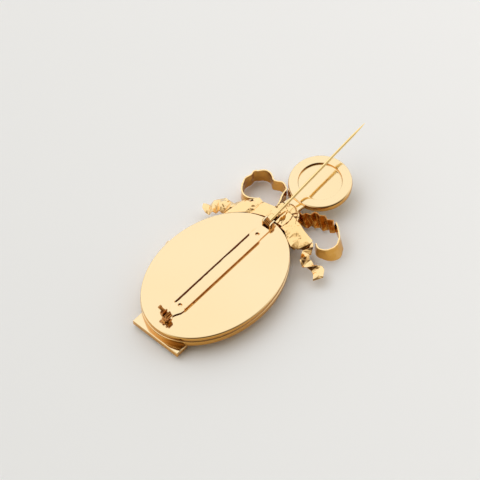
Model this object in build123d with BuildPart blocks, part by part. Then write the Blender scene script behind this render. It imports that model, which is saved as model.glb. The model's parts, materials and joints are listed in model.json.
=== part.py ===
from build123d import *
import math
import os

os.makedirs("parts", exist_ok=True)

# Oval brooch watch. It lies on its glass: the front looks down (-Z), the back with its pin looks up (+Z),
# and 12 o'clock, with the bow and the medallion, points along +Y. Origin: centre of the glass's outer face.
# All sizes are in millimetres.

# ---------------------------------------------------------------- driving dimensions: case
CASE_A, CASE_B = 17.1, 23.7          # half width and half length of the oval back
BACK_TOP = 6.0                       # height of the back's face
BACK_BOTTOM = 4.4                    # lower edge of the back cover's rim
BODY_TOP, BODY_BOTTOM = 4.2, 2.4     # case body; the 0.2 gap above it is the opening groove
BODY_GROW = 0.1                      # the body stands this much outside the back cover
CAVITY_A, CAVITY_B = 15.0, 21.6      # inside of the case body
DIAL_A, DIAL_B = 13.7, 19.1
DIAL_FRONT, DIAL_BACK = 2.5, 2.75
BEZEL_A, BEZEL_B = 14.8, 20.2
GLASS_A, GLASS_B, GLASS_THICK = 12.6, 18.0, 0.9
GASKET_WALL = 0.3

# ---------------------------------------------------------------- driving dimensions: movement
PLATE_R = 11.5
PLATE_BOTTOM, PLATE_TOP = 3.2, 3.7
BRIDGE_BOTTOM, BRIDGE_TOP = 4.4, 4.8
STEM_Z, STEM_R = 3.45, 0.35
PIVOT_R, ARBOR_R = 0.1, 0.22
CENTRE_TEETH, CENTRE_MODULE, CENTRE_LEAVES = 64, 0.125, 9
BARREL_TEETH, BARREL_MODULE = 72, 0.125
THIRD_LEAVES, THIRD_TEETH, THIRD_MODULE = 8, 60, 0.09
FOURTH_LEAVES, FOURTH_TEETH, FOURTH_MODULE = 8, 60, 0.10
ESCAPE_LEAVES, ESCAPE_TEETH, ESCAPE_R = 6, 15, 1.9
CANNON_TEETH, MINUTE_TEETH, MINUTE_LEAVES, HOUR_TEETH = 12, 36, 10, 40
MOTION_MODULE = 0.12
RATCHET_TEETH, CROWN_WHEEL_TEETH, WIND_MODULE = 48, 40, 0.12

# ---------------------------------------------------------------- driving dimensions: pin, catch
BAR_HALF_WIDTH, BAR_THICK, FLANGE_HIGH = 2.0, 0.45, 0.9
BAR_FOOT_Y, BAR_HEAD_Y = -15.6, 19.6
HINGE_Y, HINGE_Z = 21.8, 7.1
WIRE_R, WIRE_LENGTH, OPEN_RISE = 0.4, 42.4, 7.2
ROOT_R, ROOT_LENGTH = 0.62, 2.8      # the wire swells towards its coil
CATCH_Y, CATCH_Z = -19.7, 8.2

# ---------------------------------------------------------------- driving dimensions: bow, medallion, plaque
RIBBON_THICK, RIBBON_LOW, RIBBON_HIGH = 0.8, 0.3, 5.0
LEFT_TAIL_LOW, LEFT_TAIL_HIGH, RIGHT_TAIL_LOW, RIGHT_TAIL_HIGH = 2.2, 5.2, 0.6, 4.8
MEDAL_X, MEDAL_Y, MEDAL_Z, MEDAL_R, MEDAL_THICK, MEDAL_TILT = 1.0, 43.1, 6.3, 9.1, 2.3, 5.6
RECESS_R, RECESS_DEEP = 6.3, 0.8
PLAQUE_HALF, PLAQUE_END, PLAQUE_LOW = 8.15, -24.5, 0.9


def level(height):
    return Plane.XY.offset(height)


def export(builder, name):
    builder.part.label = name
    export_step(builder.part, f"parts/{name}.step")


def gear_points(centre, teeth, module, tooth_angle):
    """Outline of a cycloid-like gear: narrow teeth, so that a pair always keeps some backlash."""
    pitch_r = teeth * module / 2
    root_r, tip_r = pitch_r - 1.3 * module, pitch_r + 0.8 * module
    step = 2 * math.pi / teeth
    points = []
    for tooth in range(teeth):
        middle = math.radians(tooth_angle) + tooth * step
        for share, radius in ((-0.24, root_r), (-0.11, tip_r), (0.11, tip_r), (0.24, root_r)):
            angle = middle + share * step
            points.append((centre[0] + radius * math.cos(angle), centre[1] + radius * math.sin(angle)))
    return points


def heading(start, end):
    return math.degrees(math.atan2(end[1] - start[1], end[0] - start[0]))


def gear_sketch(centre, teeth, module, tooth_angle):
    with BuildLine() as outline:
        Polyline(*gear_points(centre, teeth, module, tooth_angle), close=True)
    make_face(outline.edges())


def gap_angle(direction, teeth):
    """Tooth angle that turns a gap, not a tooth, towards direction."""
    return direction + 180 / teeth


def step_from(start, angle, distance):
    return (start[0] + distance * math.cos(math.radians(angle)),
            start[1] + distance * math.sin(math.radians(angle)))


# Places of the arbors, each one mesh distance away from the gear before it.
CENTRE = (0.0, 0.0)
BARREL = step_from(CENTRE, 150, (BARREL_TEETH + CENTRE_LEAVES) * BARREL_MODULE / 2)
THIRD = step_from(CENTRE, -60, (CENTRE_TEETH + THIRD_LEAVES) * CENTRE_MODULE / 2)
FOURTH = step_from(THIRD, -150, (THIRD_TEETH + FOURTH_LEAVES) * THIRD_MODULE / 2)
ESCAPE = step_from(FOURTH, -45, (FOURTH_TEETH + ESCAPE_LEAVES) * FOURTH_MODULE / 2)
BALANCE, BALANCE_R = (6.3, -4.9), 2.35
PALLET = step_from(ESCAPE, heading(ESCAPE, BALANCE), 2.4)
WIND_DISTANCE = (RATCHET_TEETH + CROWN_WHEEL_TEETH) * WIND_MODULE / 2
CROWN_WHEEL = (BARREL[0] - math.sqrt(WIND_DISTANCE ** 2 - BARREL[1] ** 2), 0.0)
MINUTE_WHEEL = step_from(CENTRE, 60, (CANNON_TEETH + MINUTE_TEETH) * MOTION_MODULE / 2)
HOUR_MODULE = 2 * math.hypot(*MINUTE_WHEEL) / (MINUTE_LEAVES + HOUR_TEETH)

# ================================================================ case
with BuildPart() as back_cover:
    with BuildSketch(level(BACK_BOTTOM)):
        Ellipse(CASE_A, CASE_B)
    extrude(amount=BACK_TOP - BACK_BOTTOM)
    chamfer(back_cover.edges().group_by(Axis.Z)[-1], length=0.22)
    chamfer(back_cover.edges().group_by(Axis.Z)[0], length=0.12)
    with BuildSketch(level(BACK_BOTTOM)):
        Ellipse(CAVITY_A + 0.6, CAVITY_B + 0.6)
    extrude(amount=0.9, mode=Mode.SUBTRACT)
    with BuildSketch(level(BODY_TOP)):                      # seat that shows as the dark groove
        Ellipse(CASE_A - 0.6, CASE_B - 0.6)
        Ellipse(CAVITY_A - 0.6, CAVITY_B - 0.6, mode=Mode.SUBTRACT)
    extrude(amount=BACK_BOTTOM - BODY_TOP + 0.3)
    with BuildSketch(level(BODY_TOP - 0.35)):               # snap lip inside the case body
        Ellipse(CAVITY_A - 0.05, CAVITY_B - 0.05)
        Ellipse(CAVITY_A - 0.6, CAVITY_B - 0.6, mode=Mode.SUBTRACT)
    extrude(amount=0.35)
export(back_cover, "back_cover")

with BuildPart() as case_body:
    with BuildSketch(level(BODY_BOTTOM)):
        Ellipse(CASE_A + BODY_GROW, CASE_B + BODY_GROW)
    extrude(amount=BODY_TOP - BODY_BOTTOM)
    chamfer(case_body.edges().group_by(Axis.Z)[-1], length=0.15)
    chamfer(case_body.edges().group_by(Axis.Z)[0], length=0.25)
    with BuildSketch(level(BODY_BOTTOM + 0.4)):
        Ellipse(CAVITY_A, CAVITY_B)
    extrude(amount=BODY_TOP, mode=Mode.SUBTRACT)
    with BuildSketch(level(BODY_BOTTOM - 0.1)):
        Ellipse(DIAL_A + 0.2, DIAL_B + 0.2)
    extrude(amount=1, mode=Mode.SUBTRACT)
    with BuildSketch(Plane(origin=(-CASE_A - 1, 0, STEM_Z), z_dir=(1, 0, 0))):
        Circle(STEM_R + 0.05)
    extrude(amount=4, mode=Mode.SUBTRACT)
export(case_body, "case_body")

with BuildPart() as bezel:
    with BuildSketch(level(0)):
        Ellipse(BEZEL_A, BEZEL_B)
    extrude(amount=BODY_BOTTOM)
    chamfer(bezel.edges().group_by(Axis.Z)[0], length=0.7, length2=0.9)
    with BuildSketch(level(0)):
        Ellipse(GLASS_A + GASKET_WALL, GLASS_B + GASKET_WALL)
    extrude(amount=GLASS_THICK, mode=Mode.SUBTRACT)
    with BuildSketch(level(0)):
        Ellipse(GLASS_A - 0.3, GLASS_B - 0.3)
    extrude(amount=BODY_BOTTOM, mode=Mode.SUBTRACT)
    with BuildSketch(level(GLASS_THICK + 0.35)):
        Ellipse(GLASS_A + 0.6, GLASS_B + 0.6)
    extrude(amount=BODY_BOTTOM, mode=Mode.SUBTRACT)
export(bezel, "bezel")

with BuildPart() as crystal:
    with BuildSketch(level(0)):
        Ellipse(GLASS_A, GLASS_B)
    extrude(amount=GLASS_THICK)
    chamfer(crystal.edges().group_by(Axis.Z)[0], length=0.12)
export(crystal, "crystal")

with BuildPart() as crystal_gasket:
    with BuildSketch(level(0.1)):
        Ellipse(GLASS_A + GASKET_WALL, GLASS_B + GASKET_WALL)
        Ellipse(GLASS_A, GLASS_B, mode=Mode.SUBTRACT)
    extrude(amount=GLASS_THICK - 0.1)
export(crystal_gasket, "crystal_gasket")

with BuildPart() as dial:
    with BuildSketch(level(DIAL_FRONT)):
        Ellipse(DIAL_A, DIAL_B)
        Circle(0.75, mode=Mode.SUBTRACT)
    extrude(amount=DIAL_BACK - DIAL_FRONT)
export(dial, "dial")

with BuildPart() as hour_markers:
    with BuildSketch(level(DIAL_FRONT - 0.15)):
        for hour in range(12):
            turn = math.radians(30 * hour)
            reach = 1 / math.hypot(math.sin(turn) / 10.9, math.cos(turn) / 15.6)
            spot = (-reach * math.sin(turn), reach * math.cos(turn))
            with Locations(Location(spot, 30 * hour)):
                Rectangle(0.55, 2.0 if hour % 3 == 0 else 1.3)
    extrude(amount=0.15)
export(hour_markers, "hour_markers")

# ================================================================ movement
with BuildPart() as movement_holder:
    with BuildSketch(level(BODY_BOTTOM + 0.4)):
        Ellipse(CAVITY_A - 0.1, CAVITY_B - 0.1)
        Circle(PLATE_R + 0.05, mode=Mode.SUBTRACT)
    extrude(amount=0.85)
    with BuildSketch(Plane(origin=(-CASE_A, 0, STEM_Z), z_dir=(1, 0, 0))):
        Rectangle(2.4, 1.2)
    extrude(amount=6, mode=Mode.SUBTRACT)
export(movement_holder, "movement_holder")

PIVOT_PLACES = [CENTRE, THIRD, FOURTH, ESCAPE, PALLET, BALANCE]
SCREW_PLACES = [(-7.8, 7.4), (7.4, 7.8), (10.6, 0.2), (-10.6, -3.2), (-3.2, -10.4), (2.9, -10.4), (9.4, -5.7)]

with BuildPart() as main_plate:
    with BuildSketch(level(PLATE_BOTTOM)):
        Circle(PLATE_R)
    extrude(amount=PLATE_TOP - PLATE_BOTTOM)
    with BuildSketch(level(DIAL_BACK)):
        Circle(PLATE_R)
        Circle(PLATE_R - 0.6, mode=Mode.SUBTRACT)
    extrude(amount=PLATE_BOTTOM - DIAL_BACK)
    with BuildSketch(level(DIAL_BACK)):
        with Locations(PIVOT_PLACES[1:] + [BARREL]):
            Circle(0.45)
        Circle(0.42)
        with Locations(SCREW_PLACES + [MINUTE_WHEEL]):
            Circle(0.25)
        with Locations((-10.5, 0)):
            Rectangle(4.4, 1.7)
    extrude(amount=2, mode=Mode.SUBTRACT)
export(main_plate, "main_plate")

with BuildPart() as barrel:
    with BuildSketch(level(3.76)):
        gear_sketch(BARREL, BARREL_TEETH, BARREL_MODULE, gap_angle(heading(BARREL, CENTRE), BARREL_TEETH))
    extrude(amount=0.1)
    with BuildSketch(level(3.86)):
        with Locations(BARREL):
            Circle(4.1)
            Circle(3.9, mode=Mode.SUBTRACT)
    extrude(amount=0.2)
    with BuildSketch(level(4.06)):
        with Locations(BARREL):
            Circle(4.1)
    extrude(amount=0.08)
    with BuildSketch(level(3.7)):
        with Locations(BARREL):
            Circle(0.52)
    extrude(amount=1, mode=Mode.SUBTRACT)
export(barrel, "barrel")

with BuildPart() as mainspring:
    turns = 6
    coil = [step_from(BARREL, 30 * k, 1.2 + 2.4 * k / (12 * turns)) for k in range(12 * turns + 1)]
    inner = [step_from(BARREL, 30 * k, 1.32 + 2.4 * k / (12 * turns)) for k in range(12 * turns + 1)]
    with BuildSketch(level(3.88)):
        with BuildLine():
            band_outer = Spline(*coil)
            band_inner = Spline(*inner)
            Line(band_outer @ 0, band_inner @ 0)
            Line(band_outer @ 1, band_inner @ 1)
        make_face()
    extrude(amount=0.16)
export(mainspring, "mainspring")

with BuildPart() as barrel_arbor:
    for radius, low, high in ((0.4, 3.3, 4.82), (0.3, 4.82, 5.2)):
        with BuildSketch(level(low)):
            with Locations(BARREL):
                Circle(radius)
        extrude(amount=high - low)
export(barrel_arbor, "barrel_arbor")


def wheel_sketch(place, teeth, module, tooth_angle, rim_width, spokes, hub_r):
    """A wheel with a toothed rim, thin spokes and a hub."""
    rim_inner = teeth * module / 2 - 1.3 * module - rim_width
    gear_sketch(place, teeth, module, tooth_angle)
    with Locations(place):
        Circle(rim_inner, mode=Mode.SUBTRACT)
        Circle(hub_r)
    for spoke in range(spokes):
        angle = 360 * spoke / spokes
        middle = step_from(place, angle, rim_inner / 2 + 0.05)
        with Locations(Location(middle, angle)):
            Rectangle(rim_inner + 0.1, 0.3)


def arbor(place, low, high, radius=ARBOR_R, pivot=0.25):
    """A straight arbor with a thin pivot at each end."""
    for r, z0, z1 in ((PIVOT_R, low, high), (radius, low + pivot, high - pivot)):
        with BuildSketch(level(z0)) as disc:
            with Locations(place):
                Circle(r)
        extrude(disc.sketch, amount=z1 - z0)


ARBOR_LOW, ARBOR_HIGH = 3.35, 4.7
with BuildPart() as centre_wheel:
    with BuildSketch(level(4.2)):
        wheel_sketch(CENTRE, CENTRE_TEETH, CENTRE_MODULE, heading(CENTRE, THIRD), 0.35, 4, 0.6)
    extrude(amount=0.12)
    with BuildSketch(level(3.74)):
        gear_sketch(CENTRE, CENTRE_LEAVES, BARREL_MODULE, heading(CENTRE, BARREL))
    extrude(amount=0.46)
    with BuildSketch(level(1.6)):
        Circle(0.25)
    extrude(amount=3.1)
export(centre_wheel, "centre_wheel")

with BuildPart() as third_wheel:
    with BuildSketch(level(3.98)):
        wheel_sketch(THIRD, THIRD_TEETH, THIRD_MODULE, heading(THIRD, FOURTH), 0.3, 5, 0.45)
    extrude(amount=0.12)
    with BuildSketch(level(4.1)):
        gear_sketch(THIRD, THIRD_LEAVES, CENTRE_MODULE, gap_angle(heading(THIRD, CENTRE), THIRD_LEAVES))
    extrude(amount=0.26)
    arbor(THIRD, ARBOR_LOW, ARBOR_HIGH)
export(third_wheel, "third_wheel")

with BuildPart() as fourth_wheel:
    with BuildSketch(level(3.78)):
        wheel_sketch(FOURTH, FOURTH_TEETH, FOURTH_MODULE, heading(FOURTH, ESCAPE), 0.3, 5, 0.45)
    extrude(amount=0.12)
    with BuildSketch(level(3.9)):
        gear_sketch(FOURTH, FOURTH_LEAVES, THIRD_MODULE, gap_angle(heading(FOURTH, THIRD), FOURTH_LEAVES))
    extrude(amount=0.25)
    arbor(FOURTH, ARBOR_LOW, ARBOR_HIGH)
export(fourth_wheel, "fourth_wheel")

with BuildPart() as escape_wheel:
    club_points = []
    for tooth in range(ESCAPE_TEETH):
        first = 360 * tooth / ESCAPE_TEETH
        for turn, radius in ((0, 1.35), (9, 1.86), (13, ESCAPE_R), (11.5, 1.35)):
            club_points.append(step_from(ESCAPE, first + turn, radius))
    with BuildSketch(level(4.2)):
        with BuildLine():
            Polyline(*club_points, close=True)
        make_face()
        with Locations(ESCAPE):
            with PolarLocations(0.82, 4):
                Circle(0.28, mode=Mode.SUBTRACT)
    extrude(amount=0.1)
    with BuildSketch(level(3.74)):
        gear_sketch(ESCAPE, ESCAPE_LEAVES, FOURTH_MODULE, gap_angle(heading(ESCAPE, FOURTH), ESCAPE_LEAVES))
    extrude(amount=0.46)
    arbor(ESCAPE, ARBOR_LOW, ARBOR_HIGH, radius=0.15)
export(escape_wheel, "escape_wheel")

with BuildPart() as pallet_fork:
    forward = heading(PALLET, BALANCE)
    fork_length = math.dist(PALLET, BALANCE) - 0.55
    with BuildSketch(level(4.2)):
        with Locations(PALLET):
            Circle(0.35)
        with Locations(Location(step_from(PALLET, forward, fork_length / 2), forward)):
            Rectangle(fork_length, 0.3)
        for side in (-1, 1):
            stone = step_from(ESCAPE, forward + 35 * side, 2.22)
            shoulder = step_from(ESCAPE, forward + 34.5 * side, 2.4)
            reach = math.dist(PALLET, shoulder)
            with Locations(Location(step_from(PALLET, heading(PALLET, shoulder), reach / 2),
                                    heading(PALLET, shoulder))):
                Rectangle(reach, 0.28)
            with Locations(Location(stone, forward + 35 * side)):
                Rectangle(0.3, 0.22)
    extrude(amount=0.1)
    arbor(PALLET, ARBOR_LOW, ARBOR_HIGH, radius=0.15)
export(pallet_fork, "pallet_fork")

with BuildPart() as balance_wheel:
    with BuildSketch(level(3.78)):
        with Locations(BALANCE):
            Circle(BALANCE_R)
            Circle(BALANCE_R - 0.3, mode=Mode.SUBTRACT)
            Circle(0.35)
            for angle in (0, 60, 120):
                with Locations(Rotation(0, 0, angle)):
                    Rectangle(2 * BALANCE_R - 0.3, 0.22)
    extrude(amount=0.14)
    with BuildSketch(level(4.2)):
        with Locations(BALANCE):
            Circle(0.32)
    extrude(amount=0.1)
    arbor(BALANCE, ARBOR_LOW, ARBOR_HIGH, radius=0.15)
export(balance_wheel, "balance_wheel")

with BuildPart() as hairspring:
    strands = [[step_from(BALANCE, 30 * k, 0.36 + offset + 0.6 * k / 60) for k in range(61)]
               for offset in (0, 0.05)]
    with BuildSketch(level(4.0)):
        with BuildLine():
            strand_a = Spline(*strands[0])
            strand_b = Spline(*strands[1])
            Line(strand_a @ 0, strand_b @ 0)
            Line(strand_a @ 1, strand_b @ 1)
        make_face()
    extrude(amount=0.08)
export(hairspring, "hairspring")


def bridge(region_centre, region_size, holes, rim_gap=None):
    """A flat bridge over part of the plate with a rim foot that stands on the plate."""
    with BuildSketch(level(BRIDGE_BOTTOM)) as deck:
        Circle(PLATE_R - 0.1)
        with Locations(region_centre):
            Rectangle(*region_size, mode=Mode.INTERSECT)
        for place, radius in holes:
            with Locations(place):
                Circle(radius, mode=Mode.SUBTRACT)
    extrude(deck.sketch, amount=BRIDGE_TOP - BRIDGE_BOTTOM)
    with BuildSketch(level(PLATE_TOP)) as foot:
        Circle(PLATE_R - 0.1)
        Circle(PLATE_R - 1.1, mode=Mode.SUBTRACT)
        with Locations(region_centre):
            Rectangle(*region_size, mode=Mode.INTERSECT)
        if rim_gap:
            with Locations(rim_gap):
                Rectangle(4, 2.2, mode=Mode.SUBTRACT)
        for place, radius in holes:
            with Locations(place):
                Circle(radius, mode=Mode.SUBTRACT)
    extrude(foot.sketch, amount=BRIDGE_BOTTOM - PLATE_TOP)


screw_holes = [(place, 0.27) for place in SCREW_PLACES]
with BuildPart() as barrel_bridge:
    bridge((0, 5.5), (24, 14), screw_holes + [(CENTRE, 0.45), (BARREL, 0.45), (CROWN_WHEEL, 1.75)], (-11, 0))
export(barrel_bridge, "barrel_bridge")

with BuildPart() as train_bridge:
    bridge((-3.25, -7), (17, 10.2), screw_holes + [(place, 0.45) for place in (THIRD, FOURTH, ESCAPE, PALLET)])
export(train_bridge, "train_bridge")

with BuildPart() as balance_cock:
    bridge((8.8, -5.2), (6.4, 6.4), screw_holes + [(BALANCE, 0.45)])
export(balance_cock, "balance_cock")

with BuildPart() as bridge_screws:
    with BuildSketch(level(3.3)):
        with Locations(SCREW_PLACES):
            Circle(0.24)
    extrude(amount=BRIDGE_TOP - 3.3)
    with BuildSketch(level(BRIDGE_TOP)):
        with Locations(SCREW_PLACES):
            Circle(0.5)
    extrude(amount=0.2)
    with BuildSketch(level(BRIDGE_TOP + 0.1)):
        with Locations(SCREW_PLACES):
            Rectangle(1.2, 0.14)
    extrude(amount=0.2, mode=Mode.SUBTRACT)
export(bridge_screws, "bridge_screws")

with BuildPart() as jewels:
    for low in (PLATE_BOTTOM + 0.1, BRIDGE_BOTTOM + 0.1):
        with BuildSketch(level(low)):
            with Locations(PIVOT_PLACES[1:]):
                Circle(0.44)
                Circle(PIVOT_R + 0.03, mode=Mode.SUBTRACT)
        extrude(amount=0.28)
    with BuildSketch(level(BRIDGE_BOTTOM + 0.1)):
        Circle(0.44)
        Circle(0.28, mode=Mode.SUBTRACT)
    extrude(amount=0.28)
export(jewels, "jewels")

WIND_Z = 4.88
with BuildPart() as ratchet_wheel:
    with BuildSketch(level(WIND_Z)):
        gear_sketch(BARREL, RATCHET_TEETH, WIND_MODULE,
                    gap_angle(heading(BARREL, CROWN_WHEEL), RATCHET_TEETH))
        with Locations(BARREL):
            Circle(0.33, mode=Mode.SUBTRACT)
    extrude(amount=0.2)
export(ratchet_wheel, "ratchet_wheel")

with BuildPart() as crown_wheel:
    with BuildSketch(level(WIND_Z)):
        gear_sketch(CROWN_WHEEL, CROWN_WHEEL_TEETH, WIND_MODULE, heading(CROWN_WHEEL, BARREL))
    extrude(amount=0.2)
    with BuildSketch(level(4.16)):
        with Locations(CROWN_WHEEL):
            Circle(1.65)
            Circle(0.9, mode=Mode.SUBTRACT)
    extrude(amount=WIND_Z - 4.16)
export(crown_wheel, "crown_wheel")

CLICK = step_from(BARREL, 80, 4.3)
with BuildPart() as click:
    tip = step_from(BARREL, 62, 3.12)
    with BuildSketch(level(WIND_Z)):
        with Locations(CLICK):
            Circle(0.5)
        with Locations(Location(step_from(CLICK, heading(CLICK, tip), 0.6), heading(CLICK, tip))):
            Rectangle(1.2, 0.4)
    extrude(amount=0.2)
export(click, "click")

STEM_PLANE = Plane(origin=(-8.6, 0, STEM_Z), z_dir=(-1, 0, 0))
with BuildPart() as winding_stem:
    with BuildSketch(STEM_PLANE):
        Circle(STEM_R)
    extrude(amount=CASE_A + BODY_GROW + 0.1 - 8.6)
    with BuildSketch(STEM_PLANE.offset(0.2)):
        with BuildLine():
            Polyline(*gear_points((0, 0), 12, 0.08, 0), close=True)
        make_face()
    extrude(amount=0.8)
    with BuildSketch(STEM_PLANE.offset(1.3)):
        with BuildLine():
            Polyline(*gear_points((0, 0), 14, 0.08, 0), close=True)
        make_face()
    extrude(amount=0.7)
export(winding_stem, "winding_stem")

with BuildPart() as crown:
    with BuildSketch(Plane(origin=(-CASE_A - BODY_GROW - 0.1, 0, STEM_Z), z_dir=(-1, 0, 0))):
        Circle(1.0)
        with PolarLocations(1.02, 20):
            Circle(0.08, mode=Mode.SUBTRACT)
    extrude(amount=0.85)
    chamfer(crown.edges().group_by(Axis.X)[0], length=0.12)
export(crown, "crown")

# ================================================================ motion work and hands
MINUTE_ANGLE, HOUR_ANGLE = 150, 35          # ten past ten, seen from the glass
with BuildPart() as cannon_pinion:
    with BuildSketch(level(3.03)):
        gear_sketch(CENTRE, CANNON_TEETH, MOTION_MODULE, heading(CENTRE, MINUTE_WHEEL))
    extrude(amount=0.12)
    with BuildSketch(level(1.2)):
        Circle(0.4)
    extrude(amount=1.83)
    with BuildSketch(level(1.1)):
        Circle(0.25)
    extrude(amount=2.1, mode=Mode.SUBTRACT)
export(cannon_pinion, "cannon_pinion")

with BuildPart() as minute_wheel:
    with BuildSketch(level(3.04)):
        gear_sketch(MINUTE_WHEEL, MINUTE_TEETH, MOTION_MODULE,
                    gap_angle(heading(MINUTE_WHEEL, CENTRE), MINUTE_TEETH))
    extrude(amount=0.1)
    with BuildSketch(level(2.83)):
        gear_sketch(MINUTE_WHEEL, MINUTE_LEAVES, HOUR_MODULE, heading(MINUTE_WHEEL, CENTRE))
    extrude(amount=0.21)
    with BuildSketch(level(2.8)):
        with Locations(MINUTE_WHEEL):
            Circle(0.2)
    extrude(amount=0.8)
export(minute_wheel, "minute_wheel")

with BuildPart() as hour_wheel:
    with BuildSketch(level(2.84)):
        gear_sketch(CENTRE, HOUR_TEETH, HOUR_MODULE, gap_angle(heading(CENTRE, MINUTE_WHEEL), HOUR_TEETH))
    extrude(amount=0.11)
    with BuildSketch(level(1.7)):
        Circle(0.64)
    extrude(amount=1.14)
    with BuildSketch(level(1.6)):
        Circle(0.45)
    extrude(amount=1.4, mode=Mode.SUBTRACT)
export(hour_wheel, "hour_wheel")


def hand(low, thick, angle, length, half_width, boss_r, hole_r):
    """A leaf-shaped watch hand with a round boss and a short tail."""
    with BuildSketch(level(low)) as flat:
        with BuildLine(Plane.XY.rotated((0, 0, angle))):
            side = Spline((-1.6, 0.12), (0.6, 0.28), (length * 0.62, half_width), (length, 0.04))
            mirrored = Spline((-1.6, -0.12), (0.6, -0.28), (length * 0.62, -half_width), (length, -0.04))
            Line(side @ 0, mirrored @ 0)
            Line(side @ 1, mirrored @ 1)
        make_face()
        Circle(boss_r)
        Circle(hole_r, mode=Mode.SUBTRACT)
    extrude(flat.sketch, amount=thick)


with BuildPart() as minute_hand:
    hand(1.25, 0.15, MINUTE_ANGLE, 11.2, 0.55, 0.85, 0.4)
export(minute_hand, "minute_hand")

with BuildPart() as hour_hand:
    hand(1.75, 0.15, HOUR_ANGLE, 7.6, 0.7, 1.05, 0.64)
export(hour_hand, "hour_hand")

# ================================================================ pin bar, hinge, pin, catch
EAR_IN, EAR_OUT = 1.05, 1.45
with BuildPart() as pin_bar:
    bar_outline = [(-0.5, -20.9), (0.5, -20.9), (1.3, -20.2), (1.3, -18.9), (0.8, -18.2), (1.1, -17.3),
                   (1.8, -16.0), (BAR_HALF_WIDTH, -14.9), (BAR_HALF_WIDTH, 15.8), (1.7, 16.4), (1.7, 23.1)]
    bar_outline += [(-x, y) for x, y in reversed(bar_outline)]
    with BuildSketch(level(BACK_TOP)):
        with BuildLine():
            Polyline(*bar_outline, close=True)
        make_face()
        with Locations((0, 17.2), (0, -14.3)):
            Circle(0.62, mode=Mode.SUBTRACT)
        with Locations((0, 21.8)):
            Rectangle(2 * EAR_IN, 2.8, mode=Mode.SUBTRACT)
    extrude(amount=BAR_THICK)
    with BuildSketch(level(BACK_TOP)):                       # upright side flanges
        with Locations((-BAR_HALF_WIDTH + 0.15, 0.65), (BAR_HALF_WIDTH - 0.15, 0.65)):
            Rectangle(0.3, 30.3)
    extrude(amount=FLANGE_HIGH)
    for side in (-1, 1):                                     # hinge ears
        with BuildSketch(Plane(origin=(side * (EAR_IN + EAR_OUT) / 2, HINGE_Y, HINGE_Z), z_dir=(1, 0, 0))):
            Circle(1.0)
            with Locations((0, -0.55)):
                Rectangle(2.0, 1.1)
            Circle(0.47, mode=Mode.SUBTRACT)
        extrude(amount=(EAR_OUT - EAR_IN) / 2, both=True)
export(pin_bar, "pin_bar")

with BuildPart() as hinge_rivet:
    with BuildSketch(Plane(origin=(-1.75, HINGE_Y, HINGE_Z), z_dir=(1, 0, 0))):
        Circle(0.45)
    extrude(amount=3.5)
    for side in (-1, 1):
        with BuildSketch(Plane(origin=(side * (EAR_OUT + 0.02), HINGE_Y, HINGE_Z), z_dir=(side, 0, 0))):
            Circle(0.6)
        extrude(amount=0.3)
export(hinge_rivet, "hinge_rivet")

rise = math.radians(OPEN_RISE)
WIRE_DIR = (0, math.cos(rise), math.sin(rise))
TAPER = 5.0
WIRE_PLANE = Plane(origin=(0, HINGE_Y, HINGE_Z), z_dir=WIRE_DIR)
with BuildPart() as pin_stem:
    with BuildSketch(WIRE_PLANE):
        Circle(ROOT_R)
    with BuildSketch(WIRE_PLANE.offset(ROOT_LENGTH)):
        Circle(WIRE_R)
    loft()
    with BuildSketch(WIRE_PLANE.offset(ROOT_LENGTH)):
        Circle(WIRE_R)
    extrude(amount=WIRE_LENGTH - ROOT_LENGTH - TAPER)
    with BuildSketch(WIRE_PLANE.offset(WIRE_LENGTH - TAPER)):
        Circle(WIRE_R)
    with BuildSketch(WIRE_PLANE.offset(WIRE_LENGTH)):
        Circle(0.06)
    loft()
    with BuildSketch(Plane(origin=(-0.95, HINGE_Y, HINGE_Z), z_dir=(1, 0, 0))):
        Circle(0.94)
    extrude(amount=1.9)
    for groove in (-0.32, 0.32):                             # the coil's turns
        with BuildSketch(Plane(origin=(groove - 0.05, HINGE_Y, HINGE_Z), z_dir=(1, 0, 0))):
            Circle(1.0)
            Circle(0.84, mode=Mode.SUBTRACT)
        extrude(amount=0.1, mode=Mode.SUBTRACT)
    with BuildSketch(Plane(origin=(-1, HINGE_Y, HINGE_Z), z_dir=(1, 0, 0))):
        Circle(0.5)
    extrude(amount=2, mode=Mode.SUBTRACT)
export(pin_stem, "pin_stem")


def arc_band(inner_r, outer_r, first, last):
    """A round band on the current plane, from angle first to angle last."""
    middle = (first + last) / 2
    ends = [(r * math.cos(math.radians(a)), r * math.sin(math.radians(a)))
            for r, a in ((inner_r, first), (outer_r, first), (outer_r, last), (inner_r, last))]
    tops = [(r * math.cos(math.radians(middle)), r * math.sin(math.radians(middle))) for r in (inner_r, outer_r)]
    with BuildLine() as outline:
        Line(ends[0], ends[1])
        ThreePointArc(ends[1], tops[1], ends[2])
        Line(ends[2], ends[3])
        ThreePointArc(ends[3], tops[0], ends[0])
    make_face(outline.edges())


CATCH_LENGTH = 1.6
# Seen on this plane, +X stays to the right and +Z is up.
CATCH_PLANE = Plane(origin=(0, CATCH_Y + CATCH_LENGTH / 2, CATCH_Z), x_dir=(1, 0, 0), z_dir=(0, -1, 0))
with BuildPart() as catch_housing:
    with BuildSketch(CATCH_PLANE):
        arc_band(1.1, 1.55, 165, 375)
        with Locations((0, BACK_TOP + BAR_THICK - CATCH_Z + 0.25)):
            Rectangle(1.5, 0.5)
    extrude(amount=CATCH_LENGTH)
    with BuildSketch(CATCH_PLANE):
        Circle(1.1, mode=Mode.ADD)
    extrude(amount=CATCH_LENGTH, mode=Mode.SUBTRACT)
export(catch_housing, "catch_housing")

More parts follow.
